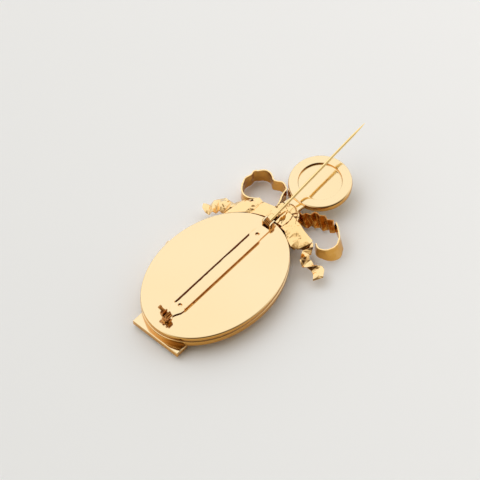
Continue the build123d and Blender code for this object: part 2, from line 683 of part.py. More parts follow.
SLIT_HALF, TAB_ANGLE, TAB_TIP = 27, 150, 2.5
with BuildPart() as catch_rotor:
    with BuildSketch(CATCH_PLANE.offset(-0.15)):
        arc_band(0.52, 1.04, 90 + SLIT_HALF, 450 - SLIT_HALF)
    extrude(amount=CATCH_LENGTH + 0.3)
    with BuildSketch(CATCH_PLANE.offset(0.35)):
        with Locations(Location(step_from((0, 0), TAB_ANGLE, (0.9 + TAB_TIP) / 2), TAB_ANGLE)):
            Rectangle(TAB_TIP - 0.9, 0.45)
        with Locations(step_from((0, 0), TAB_ANGLE, TAB_TIP)):
            Circle(0.4)
    extrude(amount=CATCH_LENGTH - 0.7)
export(catch_rotor, "catch_rotor")

# ================================================================ ribbon bow


def offset_side(points, distance):
    """The points moved sideways by distance, at right angles to the path."""
    moved = []
    for index, (x, y) in enumerate(points):
        before = points[max(index - 1, 0)]
        after = points[min(index + 1, len(points) - 1)]
        run, climb = after[0] - before[0], after[1] - before[1]
        size = math.hypot(run, climb)
        moved.append((x - climb / size * distance, y + run / size * distance))
    return moved


def ribbon(points, low, high, thick=RIBBON_THICK):
    """A metal ribbon standing on its edge along a path."""
    with BuildSketch(level(low)) as flat:
        with BuildLine():
            left = Spline(*offset_side(points, thick / 2))
            right = Spline(*offset_side(points, -thick / 2))
            Line(left @ 0, right @ 0)
            Line(left @ 1, right @ 1)
        make_face()
    extrude(flat.sketch, amount=high - low)


LEFT_LOOP = [(-3.0, 29.6), (-3.9, 32.2), (-4.9, 34.9), (-7.0, 36.1), (-9.4, 35.9), (-12.4, 36.7), (-15.0, 35.3),
             (-16.0, 32.0), (-15.5, 29.0), (-12.9, 26.8), (-9.8, 27.2), (-7.2, 28.2), (-4.2, 27.4)]
RIGHT_LOOP = [(4.0, 30.6), (6.6, 33.0), (9.2, 34.6), (12.6, 35.2), (15.6, 33.4), (17.7, 30.6), (18.0, 27.4),
              (16.6, 24.6), (14.4, 24.3), (12.3, 26.2), (9.4, 26.9), (7.2, 26.8)]
LEFT_TAIL = [(-11.2, 21.6), (-12.6, 20.3), (-14.4, 20.1), (-16.0, 19.0), (-17.2, 17.4), (-19.7, 16.3)]
RIGHT_TAIL = [(7.6, 25.6), (10.6, 24.4), (12.3, 22.2), (13.7, 19.6), (15.9, 18.9), (18.2, 19.9), (20.9, 18.2)]

with BuildPart() as bow_left_loop:
    ribbon(LEFT_LOOP, RIBBON_LOW, RIBBON_HIGH)
export(bow_left_loop, "bow_left_loop")

with BuildPart() as bow_right_loop:
    ribbon(RIGHT_LOOP, RIBBON_LOW, RIBBON_HIGH)
export(bow_right_loop, "bow_right_loop")

with BuildPart() as ribbon_tail_left:
    ribbon(LEFT_TAIL, LEFT_TAIL_LOW, LEFT_TAIL_HIGH)
export(ribbon_tail_left, "ribbon_tail_left")

with BuildPart() as ribbon_tail_right:
    ribbon(RIGHT_TAIL, RIGHT_TAIL_LOW, RIGHT_TAIL_HIGH)
export(ribbon_tail_right, "ribbon_tail_right")

KNOT_TOP = 6.0
with BuildPart() as bow_knot:
    with BuildSketch(level(0.6)):
        with BuildLine():
            Spline((-3.6, 25.6), (-3.3, 29.6), (-1.0, 32.0), (2.4, 32.0), (4.4, 30.2), (6.2, 27.6), (8.4, 26.4),
                   (7.8, 25.4), (3.0, 25.6), (0, 25.7), periodic=True)
        make_face()
    extrude(amount=KNOT_TOP - 0.6)
export(bow_knot, "bow_knot")

with BuildPart() as bow_base:                                # flat ribbon soldered along the case's shoulder
    with BuildSketch(level(BODY_BOTTOM + 0.4)):
        with BuildLine():
            shoulder = Spline((-13.4, 21.2), (-12.7, 23.4), (-10.6, 25.3), (-7.6, 26.2), (-3.0, 26.2), (3.0, 26.0),
                              (8.4, 25.2), (9.6, 21.8))
            Line(shoulder @ 1, shoulder @ 0)
        make_face()
        Ellipse(CASE_A + BODY_GROW, CASE_B + BODY_GROW, mode=Mode.SUBTRACT)
    extrude(amount=1.2)
export(bow_base, "bow_base")

# ================================================================ medallion, its neck, plaque
tilt = math.radians(MEDAL_TILT)
MEDAL_PLANE = Plane(origin=(MEDAL_X, MEDAL_Y, MEDAL_Z), x_dir=(1, 0, 0), z_dir=(0, -math.sin(tilt), math.cos(tilt)))
with BuildPart() as medallion:
    with BuildSketch(MEDAL_PLANE):
        Circle(MEDAL_R)
    extrude(amount=-MEDAL_THICK)
    fillet(medallion.edges(), radius=0.55)
    with BuildSketch(MEDAL_PLANE):
        Circle(RECESS_R)
    extrude(amount=-RECESS_DEEP, mode=Mode.SUBTRACT)
export(medallion, "medallion")

with BuildPart() as medallion_front:
    with BuildSketch(MEDAL_PLANE.offset(-MEDAL_THICK)):
        Circle(7.4)
    extrude(amount=-0.45)
    fillet(medallion_front.faces().sort_by(Axis.Z)[0].edges(), radius=0.3)
export(medallion_front, "medallion_front")

NECK_LOW, NECK_THICK = 4.2, 1.0
with BuildPart() as medallion_neck:                          # short strap that carries the medallion
    with BuildSketch(level(NECK_LOW)):
        with BuildLine():
            Polyline((-2.6, 31.2), (2.6, 31.2), (3.0, 35.6), (-1.6, 35.8), close=True)
        make_face()
    extrude(amount=NECK_THICK)
    chamfer(medallion_neck.faces().sort_by(Axis.Z)[-1].edges(), length=0.12)
export(medallion_neck, "medallion_neck")

with BuildPart() as plaque:
    with BuildSketch(level(PLAQUE_LOW)):
        with Locations((0, (PLAQUE_END - 20.3) / 2)):
            Rectangle(2 * PLAQUE_HALF, -20.3 - PLAQUE_END)
    extrude(amount=BODY_BOTTOM - PLAQUE_LOW)
    chamfer(plaque.edges().filter_by(Axis.Z), length=0.15)
    chamfer(plaque.edges().group_by(Axis.Z)[-1], length=0.15)
export(plaque, "plaque")
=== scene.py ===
# %% [markdown]
# # A brooch watch that lies on its glass
# The whole model was designed in CAD first: every plate, gear, pin and hinge is there, in its place.
# This notebook only makes it look real. It loads the CAD model as a fixed frame, and then remakes the
# pieces that a reader sees: polished gilt plates, a crimped ribbon bow, a wire pin, a painted dial.
# Everything is in metres, so sizes in millimetres are multiplied by MM.

# %% Load the frame
import json
import math

import bmesh
import bpy
from mathutils import Matrix, Vector, noise


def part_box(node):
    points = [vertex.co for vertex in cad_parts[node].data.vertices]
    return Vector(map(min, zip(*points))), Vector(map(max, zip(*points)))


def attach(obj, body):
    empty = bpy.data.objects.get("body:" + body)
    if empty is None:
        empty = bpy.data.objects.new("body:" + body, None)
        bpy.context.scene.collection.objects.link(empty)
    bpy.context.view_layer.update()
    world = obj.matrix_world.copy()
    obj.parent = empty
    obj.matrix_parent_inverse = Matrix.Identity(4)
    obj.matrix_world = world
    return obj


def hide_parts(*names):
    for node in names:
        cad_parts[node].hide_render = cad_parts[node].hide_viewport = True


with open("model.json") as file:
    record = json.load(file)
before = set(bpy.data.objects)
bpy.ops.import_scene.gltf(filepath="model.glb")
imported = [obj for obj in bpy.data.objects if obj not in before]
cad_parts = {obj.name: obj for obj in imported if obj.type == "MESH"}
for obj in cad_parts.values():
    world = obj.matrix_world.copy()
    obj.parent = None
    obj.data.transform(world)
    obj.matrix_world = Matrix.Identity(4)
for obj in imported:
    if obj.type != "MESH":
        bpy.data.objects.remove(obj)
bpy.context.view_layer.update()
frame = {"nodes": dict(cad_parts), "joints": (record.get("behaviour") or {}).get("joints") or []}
MM = 0.001
nodes = frame["nodes"]
HEAD = "watch_head"

# %% [markdown]
# ## Reading sizes from the frame
# A piece goes where its CAD solid says. These boxes give the lowest and highest corner of a node in
# millimetres, and the sizes that many cells share are read from them once. `show` puts a new mesh, lamp
# or camera into the scene, at the origin and unturned.

# %% Shared sizes, in millimetres


def show(name, data):
    obj = bpy.data.objects.new(name, data)
    bpy.context.scene.collection.objects.link(obj)
    return obj


def node_box(name):
    low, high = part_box(name)
    return low / MM, high / MM


back_low, back_high = node_box("back_cover")
body_low, body_high = node_box("case_body")
bezel_high = node_box("bezel")[1]
glass_high = node_box("crystal")[1]
BACK_TOP = back_high.z
HINGE = Vector(next(j["pos_m"] for j in frame["joints"] if j["name"] == "pin_hinge")) / MM
print(f"back cover {2 * back_high.x:.1f} x {2 * back_high.y:.1f} mm, face at {BACK_TOP:.2f} mm")

# %% [markdown]
# ## Camera
# The watch is seen from above its right lower side, with a long lens, as a small object on a table
# usually is. The camera is set from its direction round the aim point, its distance and its lens.

# %% Camera
AIM = Vector((-5.4, 16.1, 0.0))
CAMERA_AZIMUTH, CAMERA_ELEVATION, CAMERA_DISTANCE = 41.34, 53.57, 475.6


def direction(azimuth, elevation):
    """Unit vector from the object towards a viewer at that azimuth and elevation, in degrees."""
    a, e = math.radians(azimuth), math.radians(elevation)
    return Vector((math.sin(a) * math.cos(e), -math.cos(a) * math.cos(e), math.sin(e)))


camera_data = bpy.data.cameras.new("camera")
CAMERA_LENS = 127.5
camera_data.lens = CAMERA_LENS
camera_data.sensor_width = 36
camera_data.clip_start, camera_data.clip_end = 0.01, 10
camera = show("camera", camera_data)
camera.location = (AIM + direction(CAMERA_AZIMUTH, CAMERA_ELEVATION) * CAMERA_DISTANCE) * MM
camera.rotation_mode = "QUATERNION"
camera.rotation_quaternion = (-direction(CAMERA_AZIMUTH, CAMERA_ELEVATION)).to_track_quat("-Z", "Y")
bpy.context.scene.camera = camera
print("camera at", tuple(round(v, 3) for v in camera.location))

# %% [markdown]
# ## Shader tools
# A material is a small tree of nodes. These helpers add a node, join two sockets and give a node its
# values by name, so that the material cells below read like recipes.

# %% Node helpers


def add_node(tree, kind, values=None, **settings):
    node = tree.nodes.new(kind)
    for name, value in settings.items():
        setattr(node, name, value)
    for name, value in (values or {}).items():
        if isinstance(value, tuple) and isinstance(value[0], bpy.types.Node):
            tree.links.new(value[0].outputs[value[1]], node.inputs[name])
        else:
            node.inputs[name].default_value = value
    return node


def maths(tree, operation, *values):
    return add_node(tree, "ShaderNodeMath", dict(enumerate(values)), operation=operation)


def join(tree, source, output, target, slot):
    tree.links.new(source.outputs[output], target.inputs[slot])


def new_material(name):
    material = bpy.data.materials.new(name)
    material.use_nodes = True
    return material, material.node_tree, material.node_tree.nodes["Principled BSDF"]


def new_group(name, inputs, outputs, kind="ShaderNodeTree"):
    """An empty node group with the given sockets, and its input and output nodes."""
    tree = bpy.data.node_groups.new(name, kind)
    for socket, (form, value) in inputs.items():
        made = tree.interface.new_socket(socket, in_out="INPUT", socket_type=form)
        if value is not None:
            made.default_value = value
    for socket, form in outputs.items():
        tree.interface.new_socket(socket, in_out="OUTPUT", socket_type=form)
    return tree, tree.nodes.new("NodeGroupInput"), tree.nodes.new("NodeGroupOutput")


# %% [markdown]
# ## Polish, wear and painted shade
# Plated gold is a mirror with a history: hairline scratches from a polishing cloth, cloudy patches
# where fingers were and brighter rubbed edges. The metal is also darker in the folds, which is painted
# shade. All four are used by several materials, so each is a group that gives only a height or a mask.

# %% Group: hairline scratches
scratches, ins, outs = new_group(
    "hairline_scratches",
    {"Density": ("NodeSocketFloat", 900.0), "Stretch": ("NodeSocketFloat", 14.0),
     "Turn": ("NodeSocketFloat", 0.4)},
    {"Height": "NodeSocketFloat"})
where = add_node(scratches, "ShaderNodeTexCoord")
layers = []
for turn_step in (0.0, 1.1, 2.3):
    angle = maths(scratches, "ADD", (ins, "Turn"), turn_step)
    turned = add_node(scratches, "ShaderNodeVectorRotate", {"Vector": (where, "Object"),
                      "Angle": (angle, 0)}, rotation_type="Z_AXIS")
    stretch = add_node(scratches, "ShaderNodeCombineXYZ", {"Y": 1.0, "Z": 1.0, "X": (ins, "Stretch")})
    drawn = add_node(scratches, "ShaderNodeVectorMath", {0: (turned, 0), 1: (stretch, 0)},
                     operation="MULTIPLY")
    lines = add_node(scratches, "ShaderNodeTexNoise", {"Detail": 2.0, "Roughness": 0.6,
                     "Vector": (drawn, 0), "Scale": (ins, "Density")})
    fine = add_node(scratches, "ShaderNodeMapRange", {"From Min": 0.62, "From Max": 0.74,
                    "Value": (lines, 0)})
    layers.append(fine)
total = layers[0]
for layer in layers[1:]:
    both = maths(scratches, "MAXIMUM", (total, 0), (layer, 0))
    total = both
join(scratches, total, 0, outs, "Height")

# %% Group: cloudy smudges
smudges, ins, outs = new_group(
    "cloudy_smudges",
    {"Scale": ("NodeSocketFloat", 90.0), "Contrast": ("NodeSocketFloat", 0.5)},
    {"Mask": "NodeSocketFloat", "Tone": "NodeSocketFloat"})
where = add_node(smudges, "ShaderNodeTexCoord")
cloud = add_node(smudges, "ShaderNodeTexNoise", {"Detail": 5.0, "Roughness": 0.62, "Distortion": 0.6,
                 "Vector": (where, "Object"), "Scale": (ins, "Scale")})
spread = add_node(smudges, "ShaderNodeMapRange", {"From Min": 0.38, "From Max": 0.68, "Value": (cloud, 0)},
                  interpolation_type="SMOOTHSTEP")
strength = maths(smudges, "MULTIPLY", (spread, 0), (ins, "Contrast"))
join(smudges, strength, 0, outs, "Mask")
broad = add_node(smudges, "ShaderNodeTexNoise", {"Scale": 28.0, "Detail": 2.0, "Vector": (where, "Object")})
join(smudges, broad, 0, outs, "Tone")

# %% Group: rubbed edges and painted shade in folds
wear_and_shade, ins, outs = new_group(
    "edge_wear_and_fold_shade",
    {"Edge Low": ("NodeSocketFloat", 0.52), "Edge High": ("NodeSocketFloat", 0.60),
     "Fold Reach": ("NodeSocketFloat", 0.0012)},
    {"Edge": "NodeSocketFloat", "Fold": "NodeSocketFloat"})
surface = add_node(wear_and_shade, "ShaderNodeNewGeometry")
where = add_node(wear_and_shade, "ShaderNodeTexCoord")
edge = add_node(wear_and_shade, "ShaderNodeMapRange", {"Value": (surface, "Pointiness"),
                "From Min": (ins, "Edge Low"), "From Max": (ins, "Edge High")},
                interpolation_type="SMOOTHSTEP")
broken = add_node(wear_and_shade, "ShaderNodeTexNoise", {"Scale": 700.0, "Detail": 3.0, "Vector": (where, "Object")})
rubbed = maths(wear_and_shade, "MULTIPLY", (edge, 0), (broken, 0))
join(wear_and_shade, rubbed, 0, outs, "Edge")
# Painted shade: where ambient occlusion finds a fold or hollow, the Fold mask rises.
shade = add_node(wear_and_shade, "ShaderNodeAmbientOcclusion", {"Distance": (ins, "Fold Reach")}, samples=8)
fold_shade = add_node(wear_and_shade, "ShaderNodeMapRange", {"From Min": 0.75, "From Max": 0.15, "Value": (shade, "AO")})
join(wear_and_shade, fold_shade, 0, outs, "Fold")
print("shader groups:", scratches.name, smudges.name, wear_and_shade.name)

# %% [markdown]
# ## The metals
# One recipe makes every metal here. Its colour leans from a bright to a deeper tone over the piece, the
# folds are darkened with painted shade, the edges are rubbed bright, smudges raise the roughness and
# hairlines give a tiny relief. Faces that stand upright can take a painted amber, which stands in for the
# darker, warmer things that a real wall mirrors, and foil can take shallow dents. Only the values differ
# between the golds, the wire, brass and steel.

# %% Metal recipe


def metal(name, bright, deep, fold_shade_colour, rough_low, rough_high, relief=0.02, scratch_density=900.0,
          stretch=14.0, smudge_scale=90.0, fold_shade_amount=0.6, wall=(0.70, 0.31, 0.018), wall_amount=0.0,
          crease=0.0):
    material, tree, shader = new_material(name)
    shader.inputs["Metallic"].default_value = 1.0
    cloudy = add_node(tree, "ShaderNodeGroup", {"Scale": smudge_scale}, node_tree=smudges)
    worn_and_shaded = add_node(tree, "ShaderNodeGroup", node_tree=wear_and_shade)
    lines = add_node(tree, "ShaderNodeGroup", {"Density": scratch_density, "Stretch": stretch},
                     node_tree=scratches)
    tone = add_node(tree, "ShaderNodeMix", {"A": (*bright, 1), "B": (*deep, 1), "Factor": (cloudy, "Tone")},
                    data_type="RGBA")
    # Painted shade: the Fold mask mixes the dark fold colour into folds and hollows.
    fold_shade_share = maths(tree, "MULTIPLY", (worn_and_shaded, "Fold"), fold_shade_amount)
    fold_shaded = add_node(tree, "ShaderNodeMix", {"B": (*fold_shade_colour, 1), "Factor": (fold_shade_share, 0),
                       "A": (tone, "Result")}, data_type="RGBA")
    rubbed = add_node(tree, "ShaderNodeMix", {"B": (*bright, 1), "Factor": (worn_and_shaded, "Edge"),
                      "A": (fold_shaded, "Result")}, data_type="RGBA")
    turned = add_node(tree, "ShaderNodeTexCoord")
    axes = add_node(tree, "ShaderNodeSeparateXYZ", {0: (turned, "Normal")})
    upright = maths(tree, "ABSOLUTE", (axes, "Z"))
    on_wall = add_node(tree, "ShaderNodeMapRange", {"From Min": 0.30, "From Max": 0.80,
                       "To Min": wall_amount, "To Max": 0.0, "Value": (upright, 0)})
    side = add_node(tree, "ShaderNodeMix", {"B": (*wall, 1), "Factor": (on_wall, 0),
                    "A": (rubbed, "Result")}, data_type="RGBA")
    join(tree, side, "Result", shader, "Base Color")
    dull = add_node(tree, "ShaderNodeMapRange", {"To Min": rough_low, "To Max": rough_high,
                    "Value": (cloudy, "Mask")})
    join(tree, dull, 0, shader, "Roughness")
    bump = add_node(tree, "ShaderNodeBump", {"Strength": relief, "Distance": 0.00002,
                    "Height": (lines, "Height")})
    if crease:
        where = add_node(tree, "ShaderNodeTexCoord")
        dents = add_node(tree, "ShaderNodeTexNoise", {"Scale": 330.0, "Detail": 2.0, "Distortion": 0.8,
                         "Vector": (where, "Object")})
        creases = add_node(tree, "ShaderNodeBump", {"Strength": crease, "Distance": 0.0006,
                           "Height": (dents, 0)})
        join(tree, creases, 0, bump, "Normal")
    join(tree, bump, 0, shader, "Normal")
    return material


GOLD_BRIGHT, GOLD_DEEP, GOLD_FOLD_SHADE = (0.87, 0.715, 0.45), (0.86, 0.665, 0.375), (0.60, 0.22, 0.03)
plate_gold = metal("plate_gold", GOLD_BRIGHT, GOLD_DEEP, GOLD_FOLD_SHADE, 0.05, 0.14, relief=0.05, wall_amount=0.85)
ribbon_gold = metal("ribbon_gold", (0.97, 0.80, 0.48), (0.93, 0.62, 0.24), (0.30, 0.08, 0.008), 0.05, 0.16,
                    relief=0.08, smudge_scale=260.0, fold_shade_amount=0.95, wall_amount=0.8)
foil_gold = metal("foil_gold", (0.97, 0.80, 0.50), (0.90, 0.55, 0.18), (0.25, 0.06, 0.006), 0.05, 0.15,
                  relief=0.08, smudge_scale=420.0, fold_shade_amount=1.0, wall_amount=0.6, crease=0.95)
# The crimped half is the same ribbon gold; its much darker colours here are painted shade for the tight
# pleats.
crimp_shaded_gold = metal("crimp_shaded_gold", (0.92, 0.50, 0.14), (0.22, 0.05, 0.008), (0.02, 0.005, 0.001), 0.06, 0.16,
                   relief=0.08, smudge_scale=800.0, fold_shade_amount=1.0, wall_amount=0.35, crease=0.3)
wire_gold = metal("wire_gold", (1.0, 0.82, 0.45), (0.92, 0.68, 0.30), GOLD_FOLD_SHADE, 0.07, 0.14, relief=0.06,
                  scratch_density=1500.0)
movement_brass = metal("movement_brass", (0.90, 0.72, 0.38), (0.78, 0.58, 0.26), (0.35, 0.22, 0.08), 0.22,
                       0.38,
                       relief=0.2, stretch=30.0)
movement_steel = metal("movement_steel", (0.78, 0.79, 0.80), (0.60, 0.62, 0.65), (0.2, 0.2, 0.2), 0.15, 0.3,
                       relief=0.12)
# A dark brown gold for the catch, the hinge rivet, the catch rotor and the coil. Along the bar's right flange
# the same colour is a painted reflection.
dark_brown_gold = metal("dark_brown_gold", (0.66, 0.33, 0.09), (0.24, 0.07, 0.012), (0.08, 0.02, 0.004), 0.10, 0.22,
                   relief=0.1, smudge_scale=900.0, fold_shade_amount=0.95)
# A dark brown that paints the reflection along the bar's left flange.
flange_reflection_dark = metal("painted_flange_reflection", (0.20, 0.055, 0.012), (0.09, 0.02, 0.005), (0.03, 0.008, 0.002), 0.25, 0.40,
                relief=0.3, smudge_scale=500.0)
blued_steel = metal("blued_steel", (0.05, 0.09, 0.28), (0.02, 0.04, 0.14), (0.01, 0.01, 0.04), 0.12, 0.25)
print("metals:", [material.name for material in bpy.data.materials])

# %% [markdown]
# ## Dial lacquer, glass, gasket and ruby
# The dial is painted in a warm cream with a fine silky grain. The glass stays a plain Principled glass
# with only faint dust in its roughness, the gasket is a milky plastic ring and the jewels are ruby.

# %% Non-metals


def plain(name, colour, second, scale, rough, bump_strength, coat=0.0):
    """A non-metal whose colour drifts between two tones over a fine grain."""
    material, tree, shader = new_material(name)
    where = add_node(tree, "ShaderNodeTexCoord")
    grain = add_node(tree, "ShaderNodeTexNoise", {"Scale": scale, "Detail": 4.0,
                     "Vector": (where, "Object")})
    tone = add_node(tree, "ShaderNodeMix", {"A": (*colour, 1), "B": (*second, 1), "Factor": (grain, 0)},
                    data_type="RGBA")
    join(tree, tone, "Result", shader, "Base Color")
    shine = add_node(tree, "ShaderNodeMapRange", {"To Min": rough - 0.05, "To Max": rough + 0.08,
                     "Value": (grain, 0)})
    join(tree, shine, 0, shader, "Roughness")
    bump = add_node(tree, "ShaderNodeBump", {"Strength": bump_strength, "Distance": 0.00003,
                    "Height": (grain, 0)})
    join(tree, bump, 0, shader, "Normal")
    shader.inputs["Coat Weight"].default_value = coat
    return material


dial_lacquer = plain("dial_lacquer", (0.90, 0.86, 0.74), (0.82, 0.77, 0.63), 1800.0, 0.32, 0.05, coat=0.6)
dial_ink = plain("dial_ink", (0.02, 0.02, 0.025), (0.05, 0.04, 0.04), 2500.0, 0.4, 0.1)
gasket_milk = plain("gasket_milk", (0.80, 0.78, 0.72), (0.70, 0.67, 0.60), 1500.0, 0.5, 0.1)
ruby = plain("ruby", (0.55, 0.02, 0.08), (0.38, 0.01, 0.05), 2000.0, 0.12, 0.02, coat=1.0)

clear_glass, tree, glass_shader = new_material("clear_glass")
glass_shader.inputs["Base Color"].default_value = (0.96, 0.98, 0.98, 1)
glass_shader.inputs["Transmission Weight"].default_value = 1.0
glass_shader.inputs["IOR"].default_value = 1.5
dust = add_node(tree, "ShaderNodeGroup", node_tree=smudges)
dusty = add_node(tree, "ShaderNodeMapRange", {"To Min": 0.02, "To Max": 0.07,
                 "Value": (dust, "Mask")})
join(tree, dusty, 0, glass_shader, "Roughness")
print("non-metals:", dial_lacquer.name, dial_ink.name, gasket_milk.name, ruby.name, clear_glass.name)

# %% [markdown]
# ## Mesh helpers
# `build` turns points in millimetres and faces into an object at the origin, with its sharp edges kept
# sharp and the rest shaded smooth.

# %% Mesh helpers


def clean(mesh):
    """Merges doubled points and turns every face outwards."""
    work = bmesh.new()
    work.from_mesh(mesh)
    bmesh.ops.remove_doubles(work, verts=work.verts, dist=1e-7)
    bmesh.ops.recalc_face_normals(work, faces=work.faces)
    work.to_mesh(mesh)
    work.free()


def build(name, points, faces, material, sharp=40):
    mesh = bpy.data.meshes.new(name)
    mesh.from_pydata([Vector(p) * MM for p in points], [], faces)
    clean(mesh)
    obj = show(name, mesh)
    mesh.materials.append(material)
    mesh.shade_smooth()
    mesh.set_sharp_from_angle(angle=math.radians(sharp))
    return obj


def place(obj, body, slot, *replaced):
    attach(obj, body)
    if replaced:
        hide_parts(*replaced)
    return obj


def ring_faces(rings, count, closed_loop):
    """Quads between rings of count points; closed_loop also joins the last ring to the first."""
    faces = []
    pairs = len(rings) if closed_loop else len(rings) - 1
    for a in range(pairs):
        b = (a + 1) % len(rings)
        for k in range(count):
            n = (k + 1) % count
            faces.append((rings[a] + k, rings[a] + n, rings[b] + n, rings[b] + k))
    return faces


def oval_turning(name, half_x, half_y, profile, material, count=288, sharp=40):
    """Sweeps a profile of (inset, height) round an oval. A first inset of None starts at the centre."""
    points, rings, caps = [], [], []
    for inset, height in profile:
        if inset is None:
            caps.append(len(points))
            points.append((0, 0, height))
            continue
        rings.append(len(points))
        for k in range(count):
            t = 2 * math.pi * k / count
            points.append(((half_x - inset) * math.cos(t), (half_y - inset) * math.sin(t), height))
    faces = ring_faces(rings, count, not caps)
    for cap, ring in zip(caps, (rings[0], rings[-1])):
        faces += [(cap, ring + k, ring + (k + 1) % count) for k in range(count)]
    return build(name, points, faces, material, sharp)


def soft_corner(corner, before, after, radius, steps=4):
    """Points that round one corner of a profile, between the directions to its two neighbours."""
    c, b, a = (Vector(p) for p in (corner, before, after))
    start = c + (b - c).normalized() * radius
    end = c + (a - c).normalized() * radius
    return [tuple(start.lerp(c, s / steps).lerp(c.lerp(end, s / steps), s / steps)) for s in range(steps + 1)]


def rounded_profile(corners, radii):
    """A closed profile whose corners are rounded by the given radii."""
    points = []
    for index, corner in enumerate(corners):
        radius = radii[index] if isinstance(radii, (list, tuple)) else radii
        if radius == 0:
            points.append(corner)
            continue
        points += soft_corner(corner, corners[index - 1], corners[(index + 1) % len(corners)], radius)
    return points


# %% [markdown]
# ## The oval case
# The case is turned in layers: back cover, case body and bezel. Each is one profile swept round an oval,
# because a turned and polished part has exactly such a section all the way round. The back cover's face
# falls away by a few hundredths of a millimetre, as hand polishing leaves it, so its reflection drifts.

# %% Back cover, case body and bezel
A, B = back_high.x, back_high.y
rim_bottom = back_low.z
groove_top = 4.4
face_rings = [(2.2 + 0.9 * k, BACK_TOP - 0.05 * (1 - min(1, k / 9)) ** 2) for k in range(15)]
cover_profile = [(None, BACK_TOP)] + face_rings[::-1]
cover_profile += [(1.2, BACK_TOP - 0.065), (0.55, BACK_TOP - 0.09), (0.30, BACK_TOP - 0.12),
                  (0.14, BACK_TOP - 0.19),
                  (0.04, BACK_TOP - 0.30), (0.0, BACK_TOP - 0.45), (0.0, groove_top + 0.25),
                  (0.03, groove_top + 0.12),
                  (0.12, groove_top + 0.03), (0.3, groove_top), (0.6, groove_top), (0.6, 4.2), (2.1, 4.2),
                  (2.15, rim_bottom), (2.7, rim_bottom), (2.7, 5.2), (9.0, 5.2), (None, 5.2)]
back_cover = oval_turning("back_cover_polished", A, B, cover_profile, plate_gold, sharp=50)
place(back_cover, HEAD, "polished_gold", "back_cover")

body_a, body_b = body_high.x, body_high.y
floor_z = body_low.z + 0.4
body_corners = [(0.0, body_low.z), (0.0, body_high.z), (2.2, body_high.z), (2.2, floor_z), (3.3, floor_z),
                (3.3, body_low.z)]
case_body = oval_turning("case_body_polished", body_a, body_b,
                         rounded_profile(body_corners, [0.32, 0.22, 0.1, 0, 0, 0.1]), plate_gold)
place(case_body, HEAD, "polished_gold", "case_body")

bez_a, bez_b = bezel_high.x, bezel_high.y
seat = bez_a - glass_high.x - 0.3
bezel_corners = [(0.0, bezel_high.z), (0.0, 0.75), (0.85, 0.0), (seat, 0.0), (seat, glass_high.z),
                 (seat + 0.6, glass_high.z), (seat + 0.6, glass_high.z + 0.35),
                 (seat - 0.3, glass_high.z + 0.35),
                 (seat - 0.3, bezel_high.z)]
bezel = oval_turning("bezel_polished", bez_a, bez_b,
                     rounded_profile(bezel_corners, [0.1, 0.3, 0.3, 0.08, 0, 0.05, 0.05, 0, 0.05]),
                     plate_gold)
place(bezel, HEAD, "polished_gold", "bezel")

gasket = oval_turning("crystal_gasket_ring", glass_high.x + 0.3, glass_high.y + 0.3,
                      rounded_profile([(0.0, 0.1), (0.0, glass_high.z), (0.3, glass_high.z), (0.3, 0.1)],
                                      0.06),
                      gasket_milk)
place(gasket, HEAD, "gasket", "crystal_gasket")
crystal = oval_turning("front_crystal", glass_high.x, glass_high.y,
                       [(None, 0.0), (3.0, 0.0), (0.14, 0.0), (0.04, 0.04), (0.0, 0.14),
                        (0.0, glass_high.z - 0.05),
                        (0.05, glass_high.z), (3.0, glass_high.z), (None, glass_high.z)], clear_glass,
                        sharp=35)
place(crystal, HEAD, "glass", "crystal")
print("case:", [len(o.data.polygons) for o in (back_cover, case_body, bezel, crystal)], "faces")

# %% [markdown]
# ## Pieces that keep their CAD shape
# Stamped and machined parts are already right in CAD, but their edges are knife sharp, and a polished edge
# is never that. A copy of the CAD mesh is merged, its flat areas are joined into single faces, and a small
# bevel with smooth shading catches the light along every edge.

# %% Soft-edged copies of CAD parts


def soften(node, body, slot, material, bevel, segments=2):
    mesh = nodes[node].data.copy()
    mesh.name = node + "_finished"
    work = bmesh.new()
    work.from_mesh(mesh)
    bmesh.ops.remove_doubles(work, verts=work.verts, dist=2e-6)
    bmesh.ops.dissolve_limit(work, angle_limit=math.radians(1.5), verts=work.verts, edges=work.edges)
    work.to_mesh(mesh)
    work.free()
    mesh.materials.clear()
    mesh.materials.append(material)
    obj = show(mesh.name, mesh)
    round_edges = obj.modifiers.new("round_edges", "BEVEL")
    round_edges.width = bevel * MM
    round_edges.segments = segments
    round_edges.limit_method = "ANGLE"
    round_edges.angle_limit = math.radians(35)
    round_edges.harden_normals = True
    mesh.shade_smooth()
    mesh.set_sharp_from_angle(angle=math.radians(60))
    return place(obj, body, slot, node)


for node, bevel, paint in (("plaque", 0.12, plate_gold), ("pin_bar", 0.06, plate_gold),
                           ("catch_housing", 0.05, dark_brown_gold), ("hinge_rivet", 0.08, dark_brown_gold),
                           ("bow_base", 0.12, plate_gold)):
    soften(node, HEAD, "polished_gold", paint, bevel)
soften("catch_rotor", "catch", "polished_gold", dark_brown_gold, 0.05)
print("softened parts done")

# %% [markdown]
# ## Medallion
# A round turned disc with a shallow recess in its back, soldered to the bow a few degrees out of level.
# It is one profile turned round the disc's own axis. That axis is found from the CAD disc: the flat
# back face gives the tilt.

# %% Medallion, its front and its neck
medal_low, medal_high = node_box("medallion")
MEDAL_R = (medal_high.x - medal_low.x) / 2
medal_normal = Vector((0, 0, 0))
for face in nodes["medallion"].data.polygons:
    if face.normal.z > 0.95:
        medal_normal += face.normal * face.area
medal_normal.normalize()
MEDAL_TILT = math.atan2(-medal_normal.y, medal_normal.z)
MEDAL_THICK = 2.3
medal_middle = (medal_low + medal_high) / 2
medal_centre = medal_middle + medal_normal * (MEDAL_THICK / 2)
medal_place = Matrix.Translation(medal_centre) @ Matrix.Rotation(MEDAL_TILT, 4, "X")


